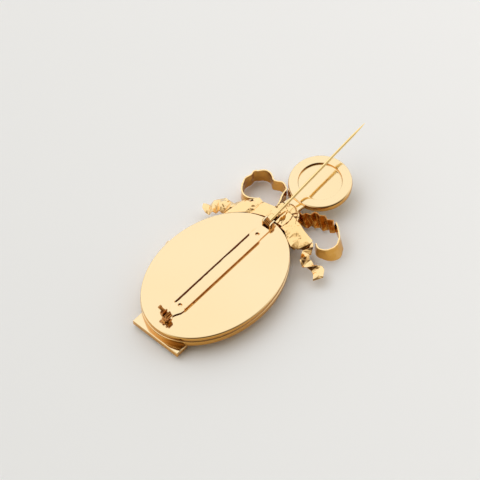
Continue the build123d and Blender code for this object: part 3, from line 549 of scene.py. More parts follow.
def turning(name, profile, matrix, material, count=192, sharp=45):
    """Turns a profile of (radius, height) round a part's own axis; radius 0 closes it."""
    points, rings, caps = [], [], []
    for radius, height in profile:
        if radius == 0:
            caps.append(len(points))
            points.append(matrix @ Vector((0, 0, height)))
            continue
        rings.append(len(points))
        for k in range(count):
            t = 2 * math.pi * k / count
            points.append(matrix @ Vector((radius * math.cos(t), radius * math.sin(t), height)))
    faces = ring_faces(rings, count, not caps)
    for cap, ring in zip(caps, (rings[0], rings[-1])):
        faces += [(cap, ring + k, ring + (k + 1) % count) for k in range(count)]
    return build(name, points, faces, material, sharp)


R, T = MEDAL_R, MEDAL_THICK
medal_profile = [(0, -0.80), (3.0, -0.80), (5.6, -0.80), (6.05, -0.78), (6.22, -0.70), (6.28, -0.55),
                 (6.30, -0.12),
                 (6.34, -0.03), (6.42, 0.0), (7.5, 0.0), (R - 0.6, -0.02), (R - 0.32, -0.08),
                 (R - 0.12, -0.24),
                 (R - 0.02, -0.5), (R, -0.8), (R, -T + 0.8), (R - 0.02, -T + 0.5), (R - 0.14, -T + 0.22),
                 (R - 0.36, -T + 0.06), (R - 0.6, -T), (4.0, -T), (0, -T)]
medallion = turning("medallion_disc", medal_profile, medal_place, plate_gold)
place(medallion, HEAD, "polished_gold", "medallion")
front_profile = [(0, -T), (7.0, -T), (7.4, -T - 0.05), (7.36, -T - 0.2), (7.2, -T - 0.33), (6.9, -T - 0.40),
                 (6.6, -T - 0.36), (6.3, -T - 0.22), (6.0, -T - 0.18), (5.4, -T - 0.24), (3.5, -T - 0.36),
                 (1.5, -T - 0.43), (0, -T - 0.45)]
medallion_front = turning("medallion_front_boss", front_profile, medal_place, plate_gold)
place(medallion_front, HEAD, "polished_gold", "medallion_front")
soften("medallion_neck", HEAD, "polished_gold", plate_gold, 0.12, segments=3)
print(f"medallion tilt {math.degrees(MEDAL_TILT):.1f} degrees, radius {MEDAL_R:.2f} mm")

# %% [markdown]
# ## Geometry Nodes: from a path to a plain mesh
# Ribbon, wire, solder and dial print all follow a path, so they are grown by node trees from a curve.
# `grow` puts a tree on a curve, sets its named inputs, evaluates it once and keeps only the mesh.

# %% Node tree tools


def geometry_tree(name, inputs):
    tree, ins, outs = new_group(name, {}, {}, "GeometryNodeTree")
    tree.interface.new_socket("Geometry", in_out="INPUT", socket_type="NodeSocketGeometry")
    for socket, value in inputs.items():
        form = "NodeSocketInt" if isinstance(value, int) else "NodeSocketFloat"
        made = tree.interface.new_socket(socket, in_out="INPUT", socket_type=form)
        made.default_value = value
    tree.interface.new_socket("Material", in_out="INPUT", socket_type="NodeSocketMaterial")
    tree.interface.new_socket("Geometry", in_out="OUTPUT", socket_type="NodeSocketGeometry")
    return tree, ins, outs


def finish_tree(tree, source, output, ins, outs):
    """Ends a tree in Realize Instances and Set Material, and hands the tree back."""
    real = add_node(tree, "GeometryNodeRealizeInstances")
    paint = add_node(tree, "GeometryNodeSetMaterial")
    join(tree, source, output, real, 0)
    join(tree, real, 0, paint, 0)
    join(tree, ins, "Material", paint, "Material")
    join(tree, paint, 0, outs, 0)
    return tree


def path_curve(name, points):
    """A curve through points of (x, y, z, lean in degrees, width factor), in millimetres."""
    data = bpy.data.curves.new(name, "CURVE")
    data.dimensions = "3D"
    data.twist_mode = "Z_UP"
    spline = data.splines.new("BEZIER")
    spline.bezier_points.add(len(points) - 1)
    spline.resolution_u = 24
    for knot, (x, y, z, lean, width) in zip(spline.bezier_points, points):
        knot.co = Vector((x, y, z)) * MM
        knot.handle_left_type = knot.handle_right_type = "AUTO"
        knot.tilt = math.radians(lean)
        knot.radius = width
    return data


def grow(name, tree, data, material, sharp=35, **values):
    maker = show(name + "_maker", data)
    modifier = maker.modifiers.new("grow", "NODES")
    modifier.node_group = tree
    for item in tree.interface.items_tree:
        if item.in_out == "INPUT" and item.name in values:
            modifier[item.identifier] = values[item.name]
        if item.in_out == "INPUT" and item.name == "Material":
            modifier[item.identifier] = material
    bpy.context.view_layer.update()
    evaluated = maker.evaluated_get(bpy.context.evaluated_depsgraph_get())
    mesh = bpy.data.meshes.new_from_object(evaluated)
    mesh.name = name
    bpy.data.objects.remove(maker)
    clean(mesh)
    mesh.shade_smooth()
    mesh.set_sharp_from_angle(angle=math.radians(sharp))
    return show(name, mesh)


# %% [markdown]
# ## The ribbon tree
# Each loop of the bow is a strip of sheet metal that stands on its edge and is bent along a path. The tree
# sweeps a thin rectangle along the curve, then pushes it sideways in pleats and lets its edges flutter, as
# hand-folded foil does. The sideways push uses the curve's own normal, so both faces move together and the
# sheet keeps its thickness.

# %% Ribbon tree
tree, ins, outs = geometry_tree(
    "standing_ribbon",
    {"Width": 0.0047, "Thickness": 0.0004, "Pleats": 0.0, "Pleat Depth": 0.0, "Flutter": 0.0002,
     "Flutter Scale": 250.0, "Seed": 1.0, "Slant": 0.0})
steps = add_node(tree, "GeometryNodeResampleCurve", {"Count": 260, "Curve": (ins, "Geometry")})
keep = add_node(tree, "GeometryNodeCaptureAttribute")
keep.capture_items.new("VECTOR", "Side")
keep.capture_items.new("FLOAT", "Along")
keep.domain = "POINT"
side = add_node(tree, "GeometryNodeInputNormal")
along = add_node(tree, "GeometryNodeSplineParameter")
join(tree, steps, "Curve", keep, 0)
join(tree, side, "Normal", keep, 1)
join(tree, along, "Factor", keep, 2)
strip = add_node(tree, "GeometryNodeCurvePrimitiveQuadrilateral", {"Width": (ins, "Thickness"),
                 "Height": (ins, "Width")})
finer = add_node(tree, "GeometryNodeSubdivideCurve", {"Cuts": 7, "Curve": (strip, "Curve")})
sweep = add_node(tree, "GeometryNodeCurveToMesh", {"Fill Caps": True, "Curve": (keep, 0),
                 "Profile Curve": (finer, "Curve")})
size = add_node(tree, "GeometryNodeInputRadius")
join(tree, size, "Radius", sweep, "Scale")
# Pleats: a rounded saw along the path, slanted by height.
spot = add_node(tree, "GeometryNodeInputPosition")
apart = add_node(tree, "ShaderNodeSeparateXYZ", {0: (spot, 0)})
slant = maths(tree, "MULTIPLY", (apart, "Z"), (ins, "Slant"))
turns = maths(tree, "MULTIPLY_ADD", (keep, "Along"), (ins, "Pleats"), (slant, 0))
wander = add_node(tree, "ShaderNodeTexNoise", {"Scale": 300.0, "Detail": 2.0, "Vector": (spot, 0),
                  "W": (ins, "Seed")}, noise_dimensions="4D")
uneven = maths(tree, "ADD", (turns, 0), (wander, 0))
saw = maths(tree, "PINGPONG", (uneven, 0), 1.0)
middle = maths(tree, "SUBTRACT", (saw, 0), 0.5)
pleat = maths(tree, "MULTIPLY", (middle, 0), (ins, "Pleat Depth"))
# Flutter: slow noise along the strip.
breeze = add_node(tree, "ShaderNodeTexNoise", {"Detail": 2.0, "Vector": (spot, 0),
                  "Scale": (ins, "Flutter Scale"), "W": (ins, "Seed")}, noise_dimensions="4D")
centred = maths(tree, "SUBTRACT", (breeze, 0), 0.5)
flutter = maths(tree, "MULTIPLY_ADD", (centred, 0), (ins, "Flutter"), (pleat, 0))
push = add_node(tree, "ShaderNodeVectorMath", {0: (keep, "Side"), "Scale": (flutter, 0)},
                operation="SCALE")
shape = add_node(tree, "GeometryNodeSetPosition", {"Geometry": (sweep, "Mesh"), "Offset": (push, 0)})
ribbon_tree = finish_tree(tree, shape, "Geometry", ins, outs)
print("ribbon tree has", len(ribbon_tree.nodes), "nodes")

# %% [markdown]
# ## The bow's loops
# The bow is folded from one ribbon: an open loop on the left, and on the right a loop whose inner half is
# crimped. The paths below run round each loop. In the right loop's paths the fourth number leans the
# ribbon from standing (0) towards lying flat (90), and the last is its width against the standard one.

# %% Bow paths and ribbons
STANDING_MID = 2.65
left_loop_points = [(-2.9, 28.8, 1.0), (-3.9, 31.6, 1.0), (-4.8, 34.4, 0.97), (-5.2, 35.7, 0.93),
                    (-6.3, 36.4, 0.86), (-7.5, 36.7, 0.88), (-8.8, 36.1, 0.86), (-9.9, 35.8, 0.9),
                    (-11.2, 36.6, 0.93), (-12.6, 37.0, 0.97), (-14.0, 36.6, 1.0), (-15.3, 35.3, 1.0),
                    (-16.0, 34.4, 1.0), (-15.9, 32.9, 1.0), (-16.3, 31.2, 1.0), (-15.9, 29.5, 1.0),
                    (-14.8, 27.5, 0.97), (-13.2, 26.3, 0.95), (-11.4, 26.2, 0.93), (-9.8, 27.1, 0.9),
                    (-8.6, 28.0, 0.88), (-6.8, 27.6, 0.86), (-4.4, 27.4, 0.9)]
left_loop_path = [(x, y, STANDING_MID, 0, width) for x, y, width in left_loop_points]
left_loop = grow("bow_left_ribbon", ribbon_tree, path_curve("left_loop_path", left_loop_path), ribbon_gold,
                 **{"Thickness": 0.0004, "Flutter": 0.0007, "Flutter Scale": 420.0, "Seed": 2.0})
place(left_loop, HEAD, "polished_gold", "bow_left_loop")

crimped_path = [(3.2, 30.6, 3.0, -20, 0.86), (5.2, 31.6, 3.0, -20, 0.92), (7.2, 33.5, 2.9, -18, 1.02),
                (9.6, 34.4, 2.8, -14, 0.98), (12.0, 34.9, 2.9, -8, 0.86), (13.3, 34.8, 3.0, -4, 0.80)]
crimped = grow("bow_right_crimp", ribbon_tree, path_curve("crimped_path", crimped_path), crimp_shaded_gold,
               **{"Thickness": 0.0004, "Pleats": 9.0, "Pleat Depth": 0.0010, "Flutter": 0.0006, "Seed": 5.0,
                  "Slant": 320.0})
outer_path = [(12.9, 35.6, 3.1, 0, 0.76), (14.8, 34.5, 3.0, 4, 0.8), (16.6, 33.2, 2.9, 10, 0.86),
              (18.1, 31.4, 2.8, 18, 0.92), (18.8, 29.2, 2.8, 22, 0.95), (18.1, 27.2, 2.9, 16, 0.9),
              (16.6, 25.9, 3.1, 4, 0.78), (14.9, 25.4, 3.2, 0, 0.74), (13.3, 26.4, 3.3, 0, 0.7)]
outer = grow("bow_right_ribbon", ribbon_tree, path_curve("outer_path", outer_path), ribbon_gold,
             **{"Thickness": 0.00045, "Flutter": 0.0008, "Flutter Scale": 300.0, "Seed": 7.0})
place(outer, HEAD, "polished_gold", "bow_right_loop")
place(crimped, HEAD, "polished_gold")

print("ribbons:", {o.name: len(o.data.polygons) for o in (left_loop, crimped, outer)})

# %% [markdown]
# ## Folded foil
# The tails and the strands beside the knot are the same ribbon, but crushed flat into sharp folds. Such a
# strip is described by its fold lines alone: each row below is one crease across the ribbon, and the sheet
# between two creases stays nearly flat. The sheet then gets its thickness, and its creases a small bevel.

# %% Foil helper


def foil(name, rows, slot, *replaced, thickness=0.34, bevel=0.06):
    count = len(rows[0])
    points = [point for row in rows for point in row]
    faces = []
    for r in range(len(rows) - 1):
        for c in range(count - 1):
            a, b = r * count + c, (r + 1) * count + c
            faces += [(a, a + 1, b), (a + 1, b + 1, b)] if (r + c) % 2 else [(a, a + 1, b + 1), (a, b + 1, b)]
    sheet = build(name, points, faces, foil_gold, sharp=180)
    wall = sheet.modifiers.new("thickness", "SOLIDIFY")
    wall.thickness = thickness * MM
    wall.offset = 0
    wall.thickness_clamp = 1.2
    rounded = sheet.modifiers.new("round_creases", "BEVEL")
    rounded.width = bevel * MM
    rounded.segments = 2
    rounded.limit_method = "ANGLE"
    rounded.angle_limit = math.radians(12)
    return place(sheet, HEAD, slot, *replaced)


# %% Left tail, from the case outwards
foil("bow_left_tail", [
    [(-11.7, 19.2, 4.5), (-11.4, 20.3, 4.8), (-11.5, 21.2, 4.3)],
    [(-12.6, 18.2, 4.8), (-12.6, 20.2, 5.2), (-12.4, 22.2, 4.5)],
    [(-13.4, 17.9, 3.5), (-13.8, 20.2, 3.8), (-14.4, 22.6, 3.3)],
    [(-14.2, 17.2, 4.8), (-15.0, 19.6, 5.2), (-15.9, 22.1, 4.3)],
    [(-14.9, 16.8, 3.3), (-16.2, 18.9, 3.7), (-17.6, 21.0, 3.3)],
    [(-15.6, 15.9, 4.5), (-17.0, 17.6, 4.9), (-18.0, 19.4, 4.1)],
    [(-16.3, 15.2, 3.0), (-17.4, 16.6, 3.3), (-18.2, 18.0, 3.1)],
    [(-17.6, 15.1, 3.2), (-18.6, 16.3, 3.6), (-19.3, 17.4, 3.4)],
    [(-19.1, 15.6, 3.5), (-19.5, 16.2, 3.8), (-19.9, 16.9, 3.6)]], "polished_gold", "ribbon_tail_left")

# %% Right tail: a zigzag that ends in a flat flap
foil("bow_right_tail", [
    [(10.6, 24.4, 4.4), (12.6, 26.2, 4.6)], [(11.6, 23.6, 3.2), (13.5, 25.2, 4.4)],
    [(12.2, 22.0, 4.5), (14.2, 23.4, 3.0)], [(12.8, 20.6, 3.0), (14.6, 22.2, 4.7)],
    [(13.5, 19.3, 4.5), (15.2, 21.6, 2.9)], [(15.0, 18.6, 3.1), (15.9, 21.4, 4.3)],
    [(16.4, 18.9, 4.0), (16.9, 21.4, 3.0)], [(17.5, 19.6, 2.7), (18.0, 22.0, 3.2)],
    [(18.2, 19.3, 2.5), (18.9, 22.7, 2.9)], [(19.0, 18.6, 2.9), (20.2, 22.0, 3.1)],
    [(19.9, 17.4, 2.5), (21.5, 19.9, 2.9)]], "polished_gold", "ribbon_tail_right")

# %% Strand to the right of the knot
foil("bow_right_strand", [
    [(3.0, 28.9, 5.7), (3.3, 26.6, 6.0), (2.9, 23.7, 5.5)],
    [(5.0, 28.5, 5.3), (5.2, 26.2, 5.5), (4.8, 23.2, 5.9)],
    [(6.6, 27.9, 5.7), (7.0, 25.6, 5.9), (6.8, 21.9, 5.0)],
    [(8.6, 27.3, 5.1), (9.0, 25.3, 5.3), (8.9, 20.9, 4.9)],
    [(10.6, 26.7, 5.2), (11.0, 25.0, 5.3), (10.8, 21.6, 4.5)],
    [(12.3, 26.4, 4.8), (12.5, 25.0, 5.1), (12.2, 22.9, 4.2)]],
     "polished_gold")

# %% Panels to the left of the knot, down to the case's shoulder
foil("bow_left_strand", [
    [(-1.0, 23.9, 5.5), (-0.8, 28.0, 5.7)], [(-3.2, 23.5, 5.8), (-3.4, 28.2, 5.4)],
    [(-6.2, 22.3, 5.6), (-6.2, 27.3, 5.7)], [(-6.9, 21.9, 5.0), (-7.2, 27.4, 4.8)],
    [(-8.0, 21.2, 5.6), (-8.4, 27.9, 5.4)], [(-9.8, 19.7, 5.3), (-9.6, 26.5, 4.9)],
    [(-11.5, 17.9, 5.3), (-11.3, 24.6, 4.8)], [(-12.3, 17.2, 4.9), (-12.7, 22.6, 4.4)]], "polished_gold")

# %% End of the left loop, tucked in beside the medallion
foil("bow_loop_end", [[(-4.8, 36.0, 1.4), (-4.8, 36.0, 4.9)], [(-3.2, 35.3, 1.6), (-3.3, 35.3, 5.0)],
                      [(-1.8, 34.5, 1.8), (-1.8, 34.4, 5.0)]], "polished_gold")

# %% The wrap that binds the bow
foil("bow_wrap", [
    [(0.3, 24.2, 3.0), (3.0, 24.0, 3.0)], [(0.4, 24.4, 5.3), (3.1, 24.3, 5.7)],
    [(0.6, 26.4, 5.9), (3.6, 26.5, 6.25)], [(0.9, 28.4, 6.4), (3.2, 28.3, 6.7)],
    [(1.0, 29.3, 5.2), (3.0, 29.2, 5.0)], [(1.0, 29.5, 3.0), (2.9, 29.4, 3.0)]], "polished_gold")
print("foil strips folded")

# %% [markdown]
# ## The knot
# The middle of the bow is foil squeezed by hand, all small flat facets with sharp creases between. It is
# made from the CAD knot: a fine voxel mesh of it is dented inwards cell by cell, each cell a little plane
# with its own slope, and the cell borders sink into creases.

# %% Crumpled knot


def crumple(node, name, voxel, cell, slope, crease, material, seed):
    source = nodes[node].data.copy()
    shell = show(name + "_maker", source)
    work = bmesh.new()
    work.from_mesh(source)
    bmesh.ops.remove_doubles(work, verts=work.verts, dist=2e-6)
    work.to_mesh(source)
    work.free()
    remesh = shell.modifiers.new("remesh", "REMESH")
    remesh.mode = "VOXEL"
    remesh.voxel_size = voxel * MM
    bpy.context.view_layer.update()
    mesh = bpy.data.meshes.new_from_object(shell.evaluated_get(bpy.context.evaluated_depsgraph_get()))
    bpy.data.objects.remove(shell)
    work = bmesh.new()
    work.from_mesh(mesh)
    bmesh.ops.smooth_vert(work, verts=work.verts, factor=0.5, use_axis_x=True, use_axis_y=True,
                          use_axis_z=True)
    moves = []
    for vert in work.verts:
        spot = vert.co / MM / cell + Vector((seed, seed * 2, 0))
        near, centres = noise.voronoi(spot)
        tilt = noise.cell_vector(centres[0] * 7.0) - Vector((0.5, 0.5, 0.5))
        height = (spot - centres[0]).dot(tilt) * slope * 2 - slope
        gap = min(1.0, (near[1] - near[0]) * 3.0)
        moves.append(vert.normal * MM * (min(0.0, height) - crease * (1 - gap)))
    for vert, move in zip(work.verts, moves):
        vert.co += move
    work.to_mesh(mesh)
    work.free()
    mesh.name = name
    obj = show(name, mesh)
    mesh.materials.clear()
    mesh.materials.append(material)
    mesh.shade_smooth()
    mesh.set_sharp_from_angle(angle=math.radians(32))
    return obj


knot = crumple("bow_knot", "bow_knot_foil", 0.15, 2.7, 0.7, 0.22, foil_gold, 3.0)
place(knot, HEAD, "polished_gold", "bow_knot")
print("knot faces", len(knot.data.polygons))

# %% [markdown]
# ## Hinge coil, pin wire and solder
# The pin is a hard wire wound a few turns round the rivet. The coil is a helix, so a spiral node makes it.
# The wire itself is a long taper with a ground point. Solder sits at both ends of the bar and at the
# medallion's neck as a thin uneven bead, which a sweep with a wandering radius makes. The same sweep lays
# a thin line of painted reflection along each side flange of the bar.

# %% Coil tree and bead tree
tree, ins, outs = geometry_tree("wire_coil", {"Turns": 4.0, "Coil Radius": 0.0007, "Pitch": 0.00047,
                                                   "Wire Radius": 0.00023})
height = maths(tree, "MULTIPLY", (ins, "Turns"), (ins, "Pitch"))
helix = add_node(tree, "GeometryNodeCurveSpiral", {"Resolution": 36, "Rotations": (ins, "Turns"),
                 "Start Radius": (ins, "Coil Radius"), "End Radius": (ins, "Coil Radius"),
                 "Height": (height, 0)})
half = maths(tree, "MULTIPLY", (height, 0), -0.5)
centre = add_node(tree, "ShaderNodeCombineXYZ", {"Z": (half, 0)})
shifted = add_node(tree, "GeometryNodeTransform", {"Geometry": (helix, "Curve"),
                   "Translation": (centre, 0)})
wire_ring = add_node(tree, "GeometryNodeCurvePrimitiveCircle", {"Resolution": 14,
                     "Radius": (ins, "Wire Radius")})
wound = add_node(tree, "GeometryNodeCurveToMesh", {"Fill Caps": True, "Curve": (shifted, "Geometry"),
                 "Profile Curve": (wire_ring, "Curve")})
coil_tree = finish_tree(tree, wound, "Mesh", ins, outs)

tree, ins, outs = geometry_tree("solder_bead", {"Radius": 0.00028, "Seed": 1.0})
steps = add_node(tree, "GeometryNodeResampleCurve", {"Count": 150, "Curve": (ins, "Geometry")})
spot = add_node(tree, "GeometryNodeInputPosition")
lumps = add_node(tree, "ShaderNodeTexNoise", {"Scale": 420.0, "Detail": 3.0, "Vector": (spot, 0),
                 "W": (ins, "Seed")}, noise_dimensions="4D")
wide = add_node(tree, "ShaderNodeMapRange", {"From Min": 0.25, "From Max": 0.75, "To Min": 0.35,
                "To Max": 1.5, "Value": (lumps, 0)})
swell = add_node(tree, "GeometryNodeSetCurveRadius", {"Curve": (steps, "Curve"), "Radius": (wide, 0)})
round_wire = add_node(tree, "GeometryNodeCurvePrimitiveCircle", {"Resolution": 12,
                      "Radius": (ins, "Radius")})
run = add_node(tree, "GeometryNodeCurveToMesh", {"Fill Caps": True, "Curve": (swell, "Curve"),
               "Profile Curve": (round_wire, "Curve")})
size = add_node(tree, "GeometryNodeInputRadius")
join(tree, size, "Radius", run, "Scale")
bead_tree = finish_tree(tree, run, "Mesh", ins, outs)
print("trees:", coil_tree.name, bead_tree.name)

# %% Pin: coil, wire and point
tip = max((vert.co for vert in nodes["pin_stem"].data.vertices), key=lambda point: point.y) / MM
wire_direction = (Vector((0, tip.y, tip.z)) - HINGE).normalized()
wire_length = (Vector((0, tip.y, tip.z)) - HINGE).dot(wire_direction)
pin_coil = grow("pin_coil", coil_tree, bpy.data.meshes.new("seed_point"), dark_brown_gold, sharp=60)
pin_coil.data.transform(Matrix.Translation(HINGE * MM) @ Matrix.Rotation(math.pi / 2, 4, "Y"))
place(pin_coil, "pin", "pin_wire")

wire_profile = [(0, 0.55), (0.34, 0.56), (0.44, 0.62), (0.455, 1.2), (0.44, 2.4), (0.40, 3.0)]
wire_profile += [(0.40, 3.0 + 4.25 * k) for k in range(1, 8)]
wire_profile += [(0.395, wire_length - 5.2), (0.36, wire_length - 4.2), (0.29, wire_length - 2.9),
                 (0.20, wire_length - 1.5), (0.11, wire_length - 0.4), (0.07, wire_length - 0.08),
                 (0, wire_length)]
wire_place = Matrix.Translation(HINGE) @ wire_direction.to_track_quat("Z", "X").to_matrix().to_4x4()
wire = turning("pin_wire_ground", wire_profile, wire_place, wire_gold, count=28, sharp=50)
place(wire, "pin", "pin_wire", "pin_stem")
wire_rise = math.degrees(math.asin(wire_direction.z))
print(f"pin wire {wire_length:.1f} mm, rises {wire_rise:.1f} degrees when open")

# %% Solder beads and lines of painted reflection
bar_high = node_box("pin_bar")[1]
solder_gold = metal("solder_gold", (0.96, 0.62, 0.20), (0.80, 0.38, 0.07), (0.35, 0.12, 0.02), 0.10, 0.22,
                    relief=0.3,
                    scratch_density=500.0, stretch=3.0, smudge_scale=600.0, fold_shade_amount=0.9)
foot_x = bar_high.x + 0.08
bead_runs = {
    "solder_bar_foot": [(foot_x, -15.0, BACK_TOP - 0.06), (foot_x + 0.1, -13.4, BACK_TOP - 0.05),
                        (foot_x, -12.0, BACK_TOP - 0.06), (foot_x + 0.05, -10.4, BACK_TOP - 0.08)],
    "solder_bar_head": [(-1.75, 16.6, BACK_TOP - 0.06), (-1.8, 18.4, BACK_TOP - 0.06),
                        (-1.75, 20.2, BACK_TOP - 0.08)],
    "solder_neck": [(-2.2, 34.2, 5.15), (-0.6, 34.0, 5.2), (1.2, 33.9, 5.2), (2.9, 34.1, 5.15)]}
for name, run in bead_runs.items():
    points = [(*point, 0, 1.0) for point in run]
    bead = grow(name, bead_tree, path_curve(name + "_path", points), solder_gold, sharp=60,
                **{"Radius": 0.00020, "Seed": float(len(name))})
    place(bead, HEAD, "polished_gold")
# The two lines along the bar's side flanges are painted reflection: dark brown on the left, brown on the
# right.
strips = {"residue_bar_left": (-1.6, BACK_TOP + 0.62, 0.00019, flange_reflection_dark),
          "residue_bar_right": (bar_high.x + 0.1, BACK_TOP + 0.02, 0.00013, dark_brown_gold)}
for name, (x, z, radius, paint) in strips.items():
    points = [(x, y, z, 0, 1.0) for y in (-14.2, -7.0, 0.5, 8.0, 15.5)]
    line = grow(name, bead_tree, path_curve(name + "_path", points), paint, sharp=60,
                **{"Radius": radius, "Seed": radius * 1e5})
    place(line, HEAD, "polished_gold")
print("solder beads:", list(bead_runs))

# %% [markdown]
# ## Crown
# The crown is a small ribbed knob. Its ribs repeat, so one rib is copied round a circle with Instance on
# Points. The core is a turned profile.

# %% Crown
crown_low, crown_high = node_box("crown")
crown_middle = (crown_low + crown_high) / 2
CROWN_R = (crown_high.z - crown_low.z) / 2
CROWN_LONG = crown_high.x - crown_low.x
tree, ins, outs = geometry_tree("knurl_ring",
                                {"Count": 28, "Radius": 0.0009, "Rib": 0.00009, "Length": 0.0006})
ring = add_node(tree, "GeometryNodeMeshCircle", {"Vertices": (ins, "Count"),
                "Radius": (ins, "Radius")})
rib = add_node(tree, "GeometryNodeMeshCylinder", {"Vertices": 8, "Radius": (ins, "Rib"),
               "Depth": (ins, "Length")})
ribs = add_node(tree, "GeometryNodeInstanceOnPoints", {"Points": (ring, "Mesh"),
                "Instance": (rib, "Mesh")})
knurl_tree = finish_tree(tree, ribs, "Instances", ins, outs)
crown_place = Matrix.Translation(crown_middle) @ Matrix.Rotation(-math.pi / 2, 4, "Y")
knurl = grow("crown_ribs", knurl_tree, bpy.data.meshes.new("seed_ring"), plate_gold, sharp=40,
             **{"Radius": (CROWN_R - 0.09) * MM, "Length": (CROWN_LONG - 0.25) * MM})
knurl.data.transform(Matrix.Translation(crown_middle * MM) @ Matrix.Rotation(-math.pi / 2, 4, "Y"))
place(knurl, "winding", "polished_gold")
half_long = CROWN_LONG / 2
crown_profile = [(0, half_long), (CROWN_R - 0.4, half_long - 0.02), (CROWN_R - 0.2, half_long - 0.08),
                 (CROWN_R - 0.1, half_long - 0.16), (CROWN_R - 0.1, -half_long + 0.16),
                 (CROWN_R - 0.2, -half_long + 0.06), (CROWN_R - 0.35, -half_long), (0.35, -half_long),
                 (0, -half_long)]
crown = turning("crown_core", crown_profile, crown_place, plate_gold, count=64)
place(crown, "winding", "polished_gold", "crown")
print(f"crown {2 * CROWN_R:.1f} mm wide, {CROWN_LONG:.2f} mm long")

# %% [markdown]
# ## Dial, markers and hands
# The dial faces down when the watch lies on its glass. The minute track is printed: sixty short bars round
# an oval, every fifth one longer. They are instances on the points of a scaled circle, turned towards the
# dial's middle, so the tree is the same whatever the dial's size.

# %% Dial
dial_low = node_box("dial")[0]
tree, ins, outs = geometry_tree("minute_track", {"Half X": 0.0118, "Half Y": 0.0171, "Bar Width": 0.00011,
                                                       "Bar Length": 0.0007, "Bar Thick": 0.00003})
circle = add_node(tree, "GeometryNodeMeshCircle", {"Vertices": 60, "Radius": 1.0})
oval = add_node(tree, "ShaderNodeCombineXYZ", {"Z": 1.0, "X": (ins, "Half X"), "Y": (ins, "Half Y")})
stretched = add_node(tree, "GeometryNodeTransform", {"Geometry": (circle, "Mesh"),
                     "Scale": (oval, 0)})
bar_size = add_node(tree, "ShaderNodeCombineXYZ", {"X": (ins, "Bar Length"), "Y": (ins, "Bar Width"),
                    "Z": (ins, "Bar Thick")})
bar = add_node(tree, "GeometryNodeMeshCube", {"Size": (bar_size, 0)})
where = add_node(tree, "GeometryNodeInputPosition")
facing = add_node(tree, "FunctionNodeAlignRotationToVector", {"Vector": (where, 0)}, axis="X")
number = add_node(tree, "GeometryNodeInputIndex")
fifth = maths(tree, "MODULO", (number, 0), 5.0)
is_fifth = maths(tree, "LESS_THAN", (fifth, 0), 0.5)
grown = maths(tree, "MULTIPLY_ADD", (is_fifth, 0), 1.0, 1.0)
bar_scale = add_node(tree, "ShaderNodeCombineXYZ", {"X": 1.0, "Z": 1.0, "Y": (grown, 0)})
bars = add_node(tree, "GeometryNodeInstanceOnPoints", {"Points": (stretched, "Geometry"),
                "Instance": (bar, "Mesh"), "Rotation": (facing, 0), "Scale": (bar_scale, 0)})
track_tree = finish_tree(tree, bars, "Instances", ins, outs)
track = grow("dial_minute_track", track_tree, bpy.data.meshes.new("seed_track"), dial_ink, sharp=30)
track.data.transform(Matrix.Translation((0, 0, dial_low.z * MM - 0.00001)))
place(track, HEAD, "markers")
for slot in nodes["dial"].material_slots:
    slot.material = dial_lacquer
soften("hour_markers", HEAD, "markers", plate_gold, 0.04)
soften("hour_hand", "hour_parts", "hands", blued_steel, 0.03)
soften("minute_hand", "centre_arbor", "hands", blued_steel, 0.03)
print("dial track bars:", len(track.data.polygons) // 6)

# %% [markdown]
# ## Movement
# The wheels, bridges and screws keep their CAD meshes, since gear teeth and holes are already exact there.
# Each one only takes its metal: grained brass for plates and wheels, polished steel for pinions, ruby for
# the jewels.

# %% Movement materials
metals_by_node = {
    movement_brass: ("main_plate", "barrel", "barrel_bridge", "train_bridge", "balance_cock", "centre_wheel",
                     "third_wheel", "fourth_wheel", "hour_wheel", "minute_wheel", "balance_wheel"),
    movement_steel: ("barrel_arbor", "mainspring", "bridge_screws", "cannon_pinion", "escape_wheel",
                     "pallet_fork",
                     "hairspring", "winding_stem", "crown_wheel", "ratchet_wheel", "click"),
    ruby: ("jewels",),
    gasket_milk: ("movement_holder",)}
for finish_material, names in metals_by_node.items():
    for name in names:
        for slot in nodes[name].material_slots:
            slot.material = finish_material
covered = {name for names in metals_by_node.values() for name in names}
print(len(covered), "movement pieces carry a finish")

# %% [markdown]
# ## Table and light
# The watch lies on a plain white table, whose paint is a little lighter towards the back right, in
# place of uneven light. The room is a soft white tent: bright above and behind, dark on the right and
# near side, where a person leans over the table. The dark part matters, because polished gold has no
# look of its own and only shows its surroundings. A large soft lamp on the left gives the gentle
# shadow. It is left out of reflections, since its disc would burn a white spot into every rounded rim.

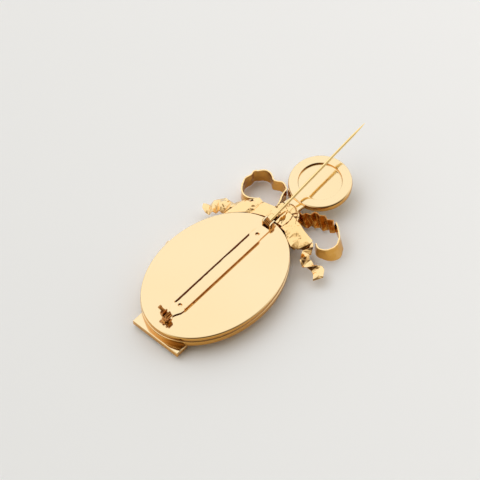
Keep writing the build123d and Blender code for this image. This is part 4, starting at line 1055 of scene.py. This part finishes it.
# %% Table
table_mesh = bpy.data.meshes.new("table")
table_mesh.from_pydata([(-3, -3, 0), (3, -3, 0), (3, 3, 0), (-3, 3, 0)], [], [(0, 1, 2, 3)])
table = show("table", table_mesh)
table_paint, tree, shader = new_material("table_white")
where = add_node(tree, "ShaderNodeTexCoord")
across = add_node(tree, "ShaderNodeVectorMath", {1: (0.347, 0.938, 0), 0: (where, "Object")},
                  operation="DOT_PRODUCT")
drift = add_node(tree, "ShaderNodeMapRange", {"From Min": -0.127, "From Max": 0.153,
                 "Value": (across, "Value")})
tone = add_node(tree, "ShaderNodeMix", {"A": (0.82, 0.838, 0.84, 1), "B": (0.965, 0.98, 0.99, 1),
                "Factor": (drift, 0)}, data_type="RGBA")
join(tree, tone, "Result", shader, "Base Color")
shader.inputs["Roughness"].default_value = 0.6
shader.inputs["Specular IOR Level"].default_value = 0.3
table_mesh.materials.append(table_paint)

# %% World and lamp
world = bpy.data.worlds.new("white_room")
bpy.context.scene.world = world
world.use_nodes = True
tree = world.node_tree
sky = tree.nodes["Background"]
look = add_node(tree, "ShaderNodeTexCoord")
viewer_side = add_node(tree, "ShaderNodeVectorMath", {1: direction(66, 36), 0: (look, "Generated")},
                       operation="DOT_PRODUCT")
room = add_node(tree, "ShaderNodeValToRGB")
stops = room.color_ramp.elements
stops[0].position, stops[0].color = 0.40, (1.0, 1.0, 1.0, 1)
stops[1].position, stops[1].color = 0.90, (0.05, 0.028, 0.015, 1)
for position, colour in ((0.58, (0.80, 0.75, 0.66, 1)), (0.72, (0.40, 0.31, 0.20, 1))):
    stops.new(position).color = colour
join(tree, viewer_side, "Value", room, "Fac")
join(tree, room, "Color", sky, "Color")
sky.inputs["Strength"].default_value = 1.17

lamp_data = bpy.data.lights.new("window_lamp", "AREA")
lamp_data.shape = "DISK"
LAMP_SIZE = 1.8
lamp_data.size = LAMP_SIZE
LAMP_POWER = 6.5
lamp_data.energy = LAMP_POWER
lamp = show("window_lamp", lamp_data)
lamp_direction = Vector((-0.78, -0.02, 1.0)).normalized()
LAMP_DISTANCE = 2.2
lamp.location = lamp_direction * LAMP_DISTANCE
lamp.visible_glossy = False
lamp.rotation_mode = "QUATERNION"
lamp.rotation_quaternion = (-lamp_direction).to_track_quat("-Z", "Y")
bpy.context.scene.view_settings.view_transform = "Standard"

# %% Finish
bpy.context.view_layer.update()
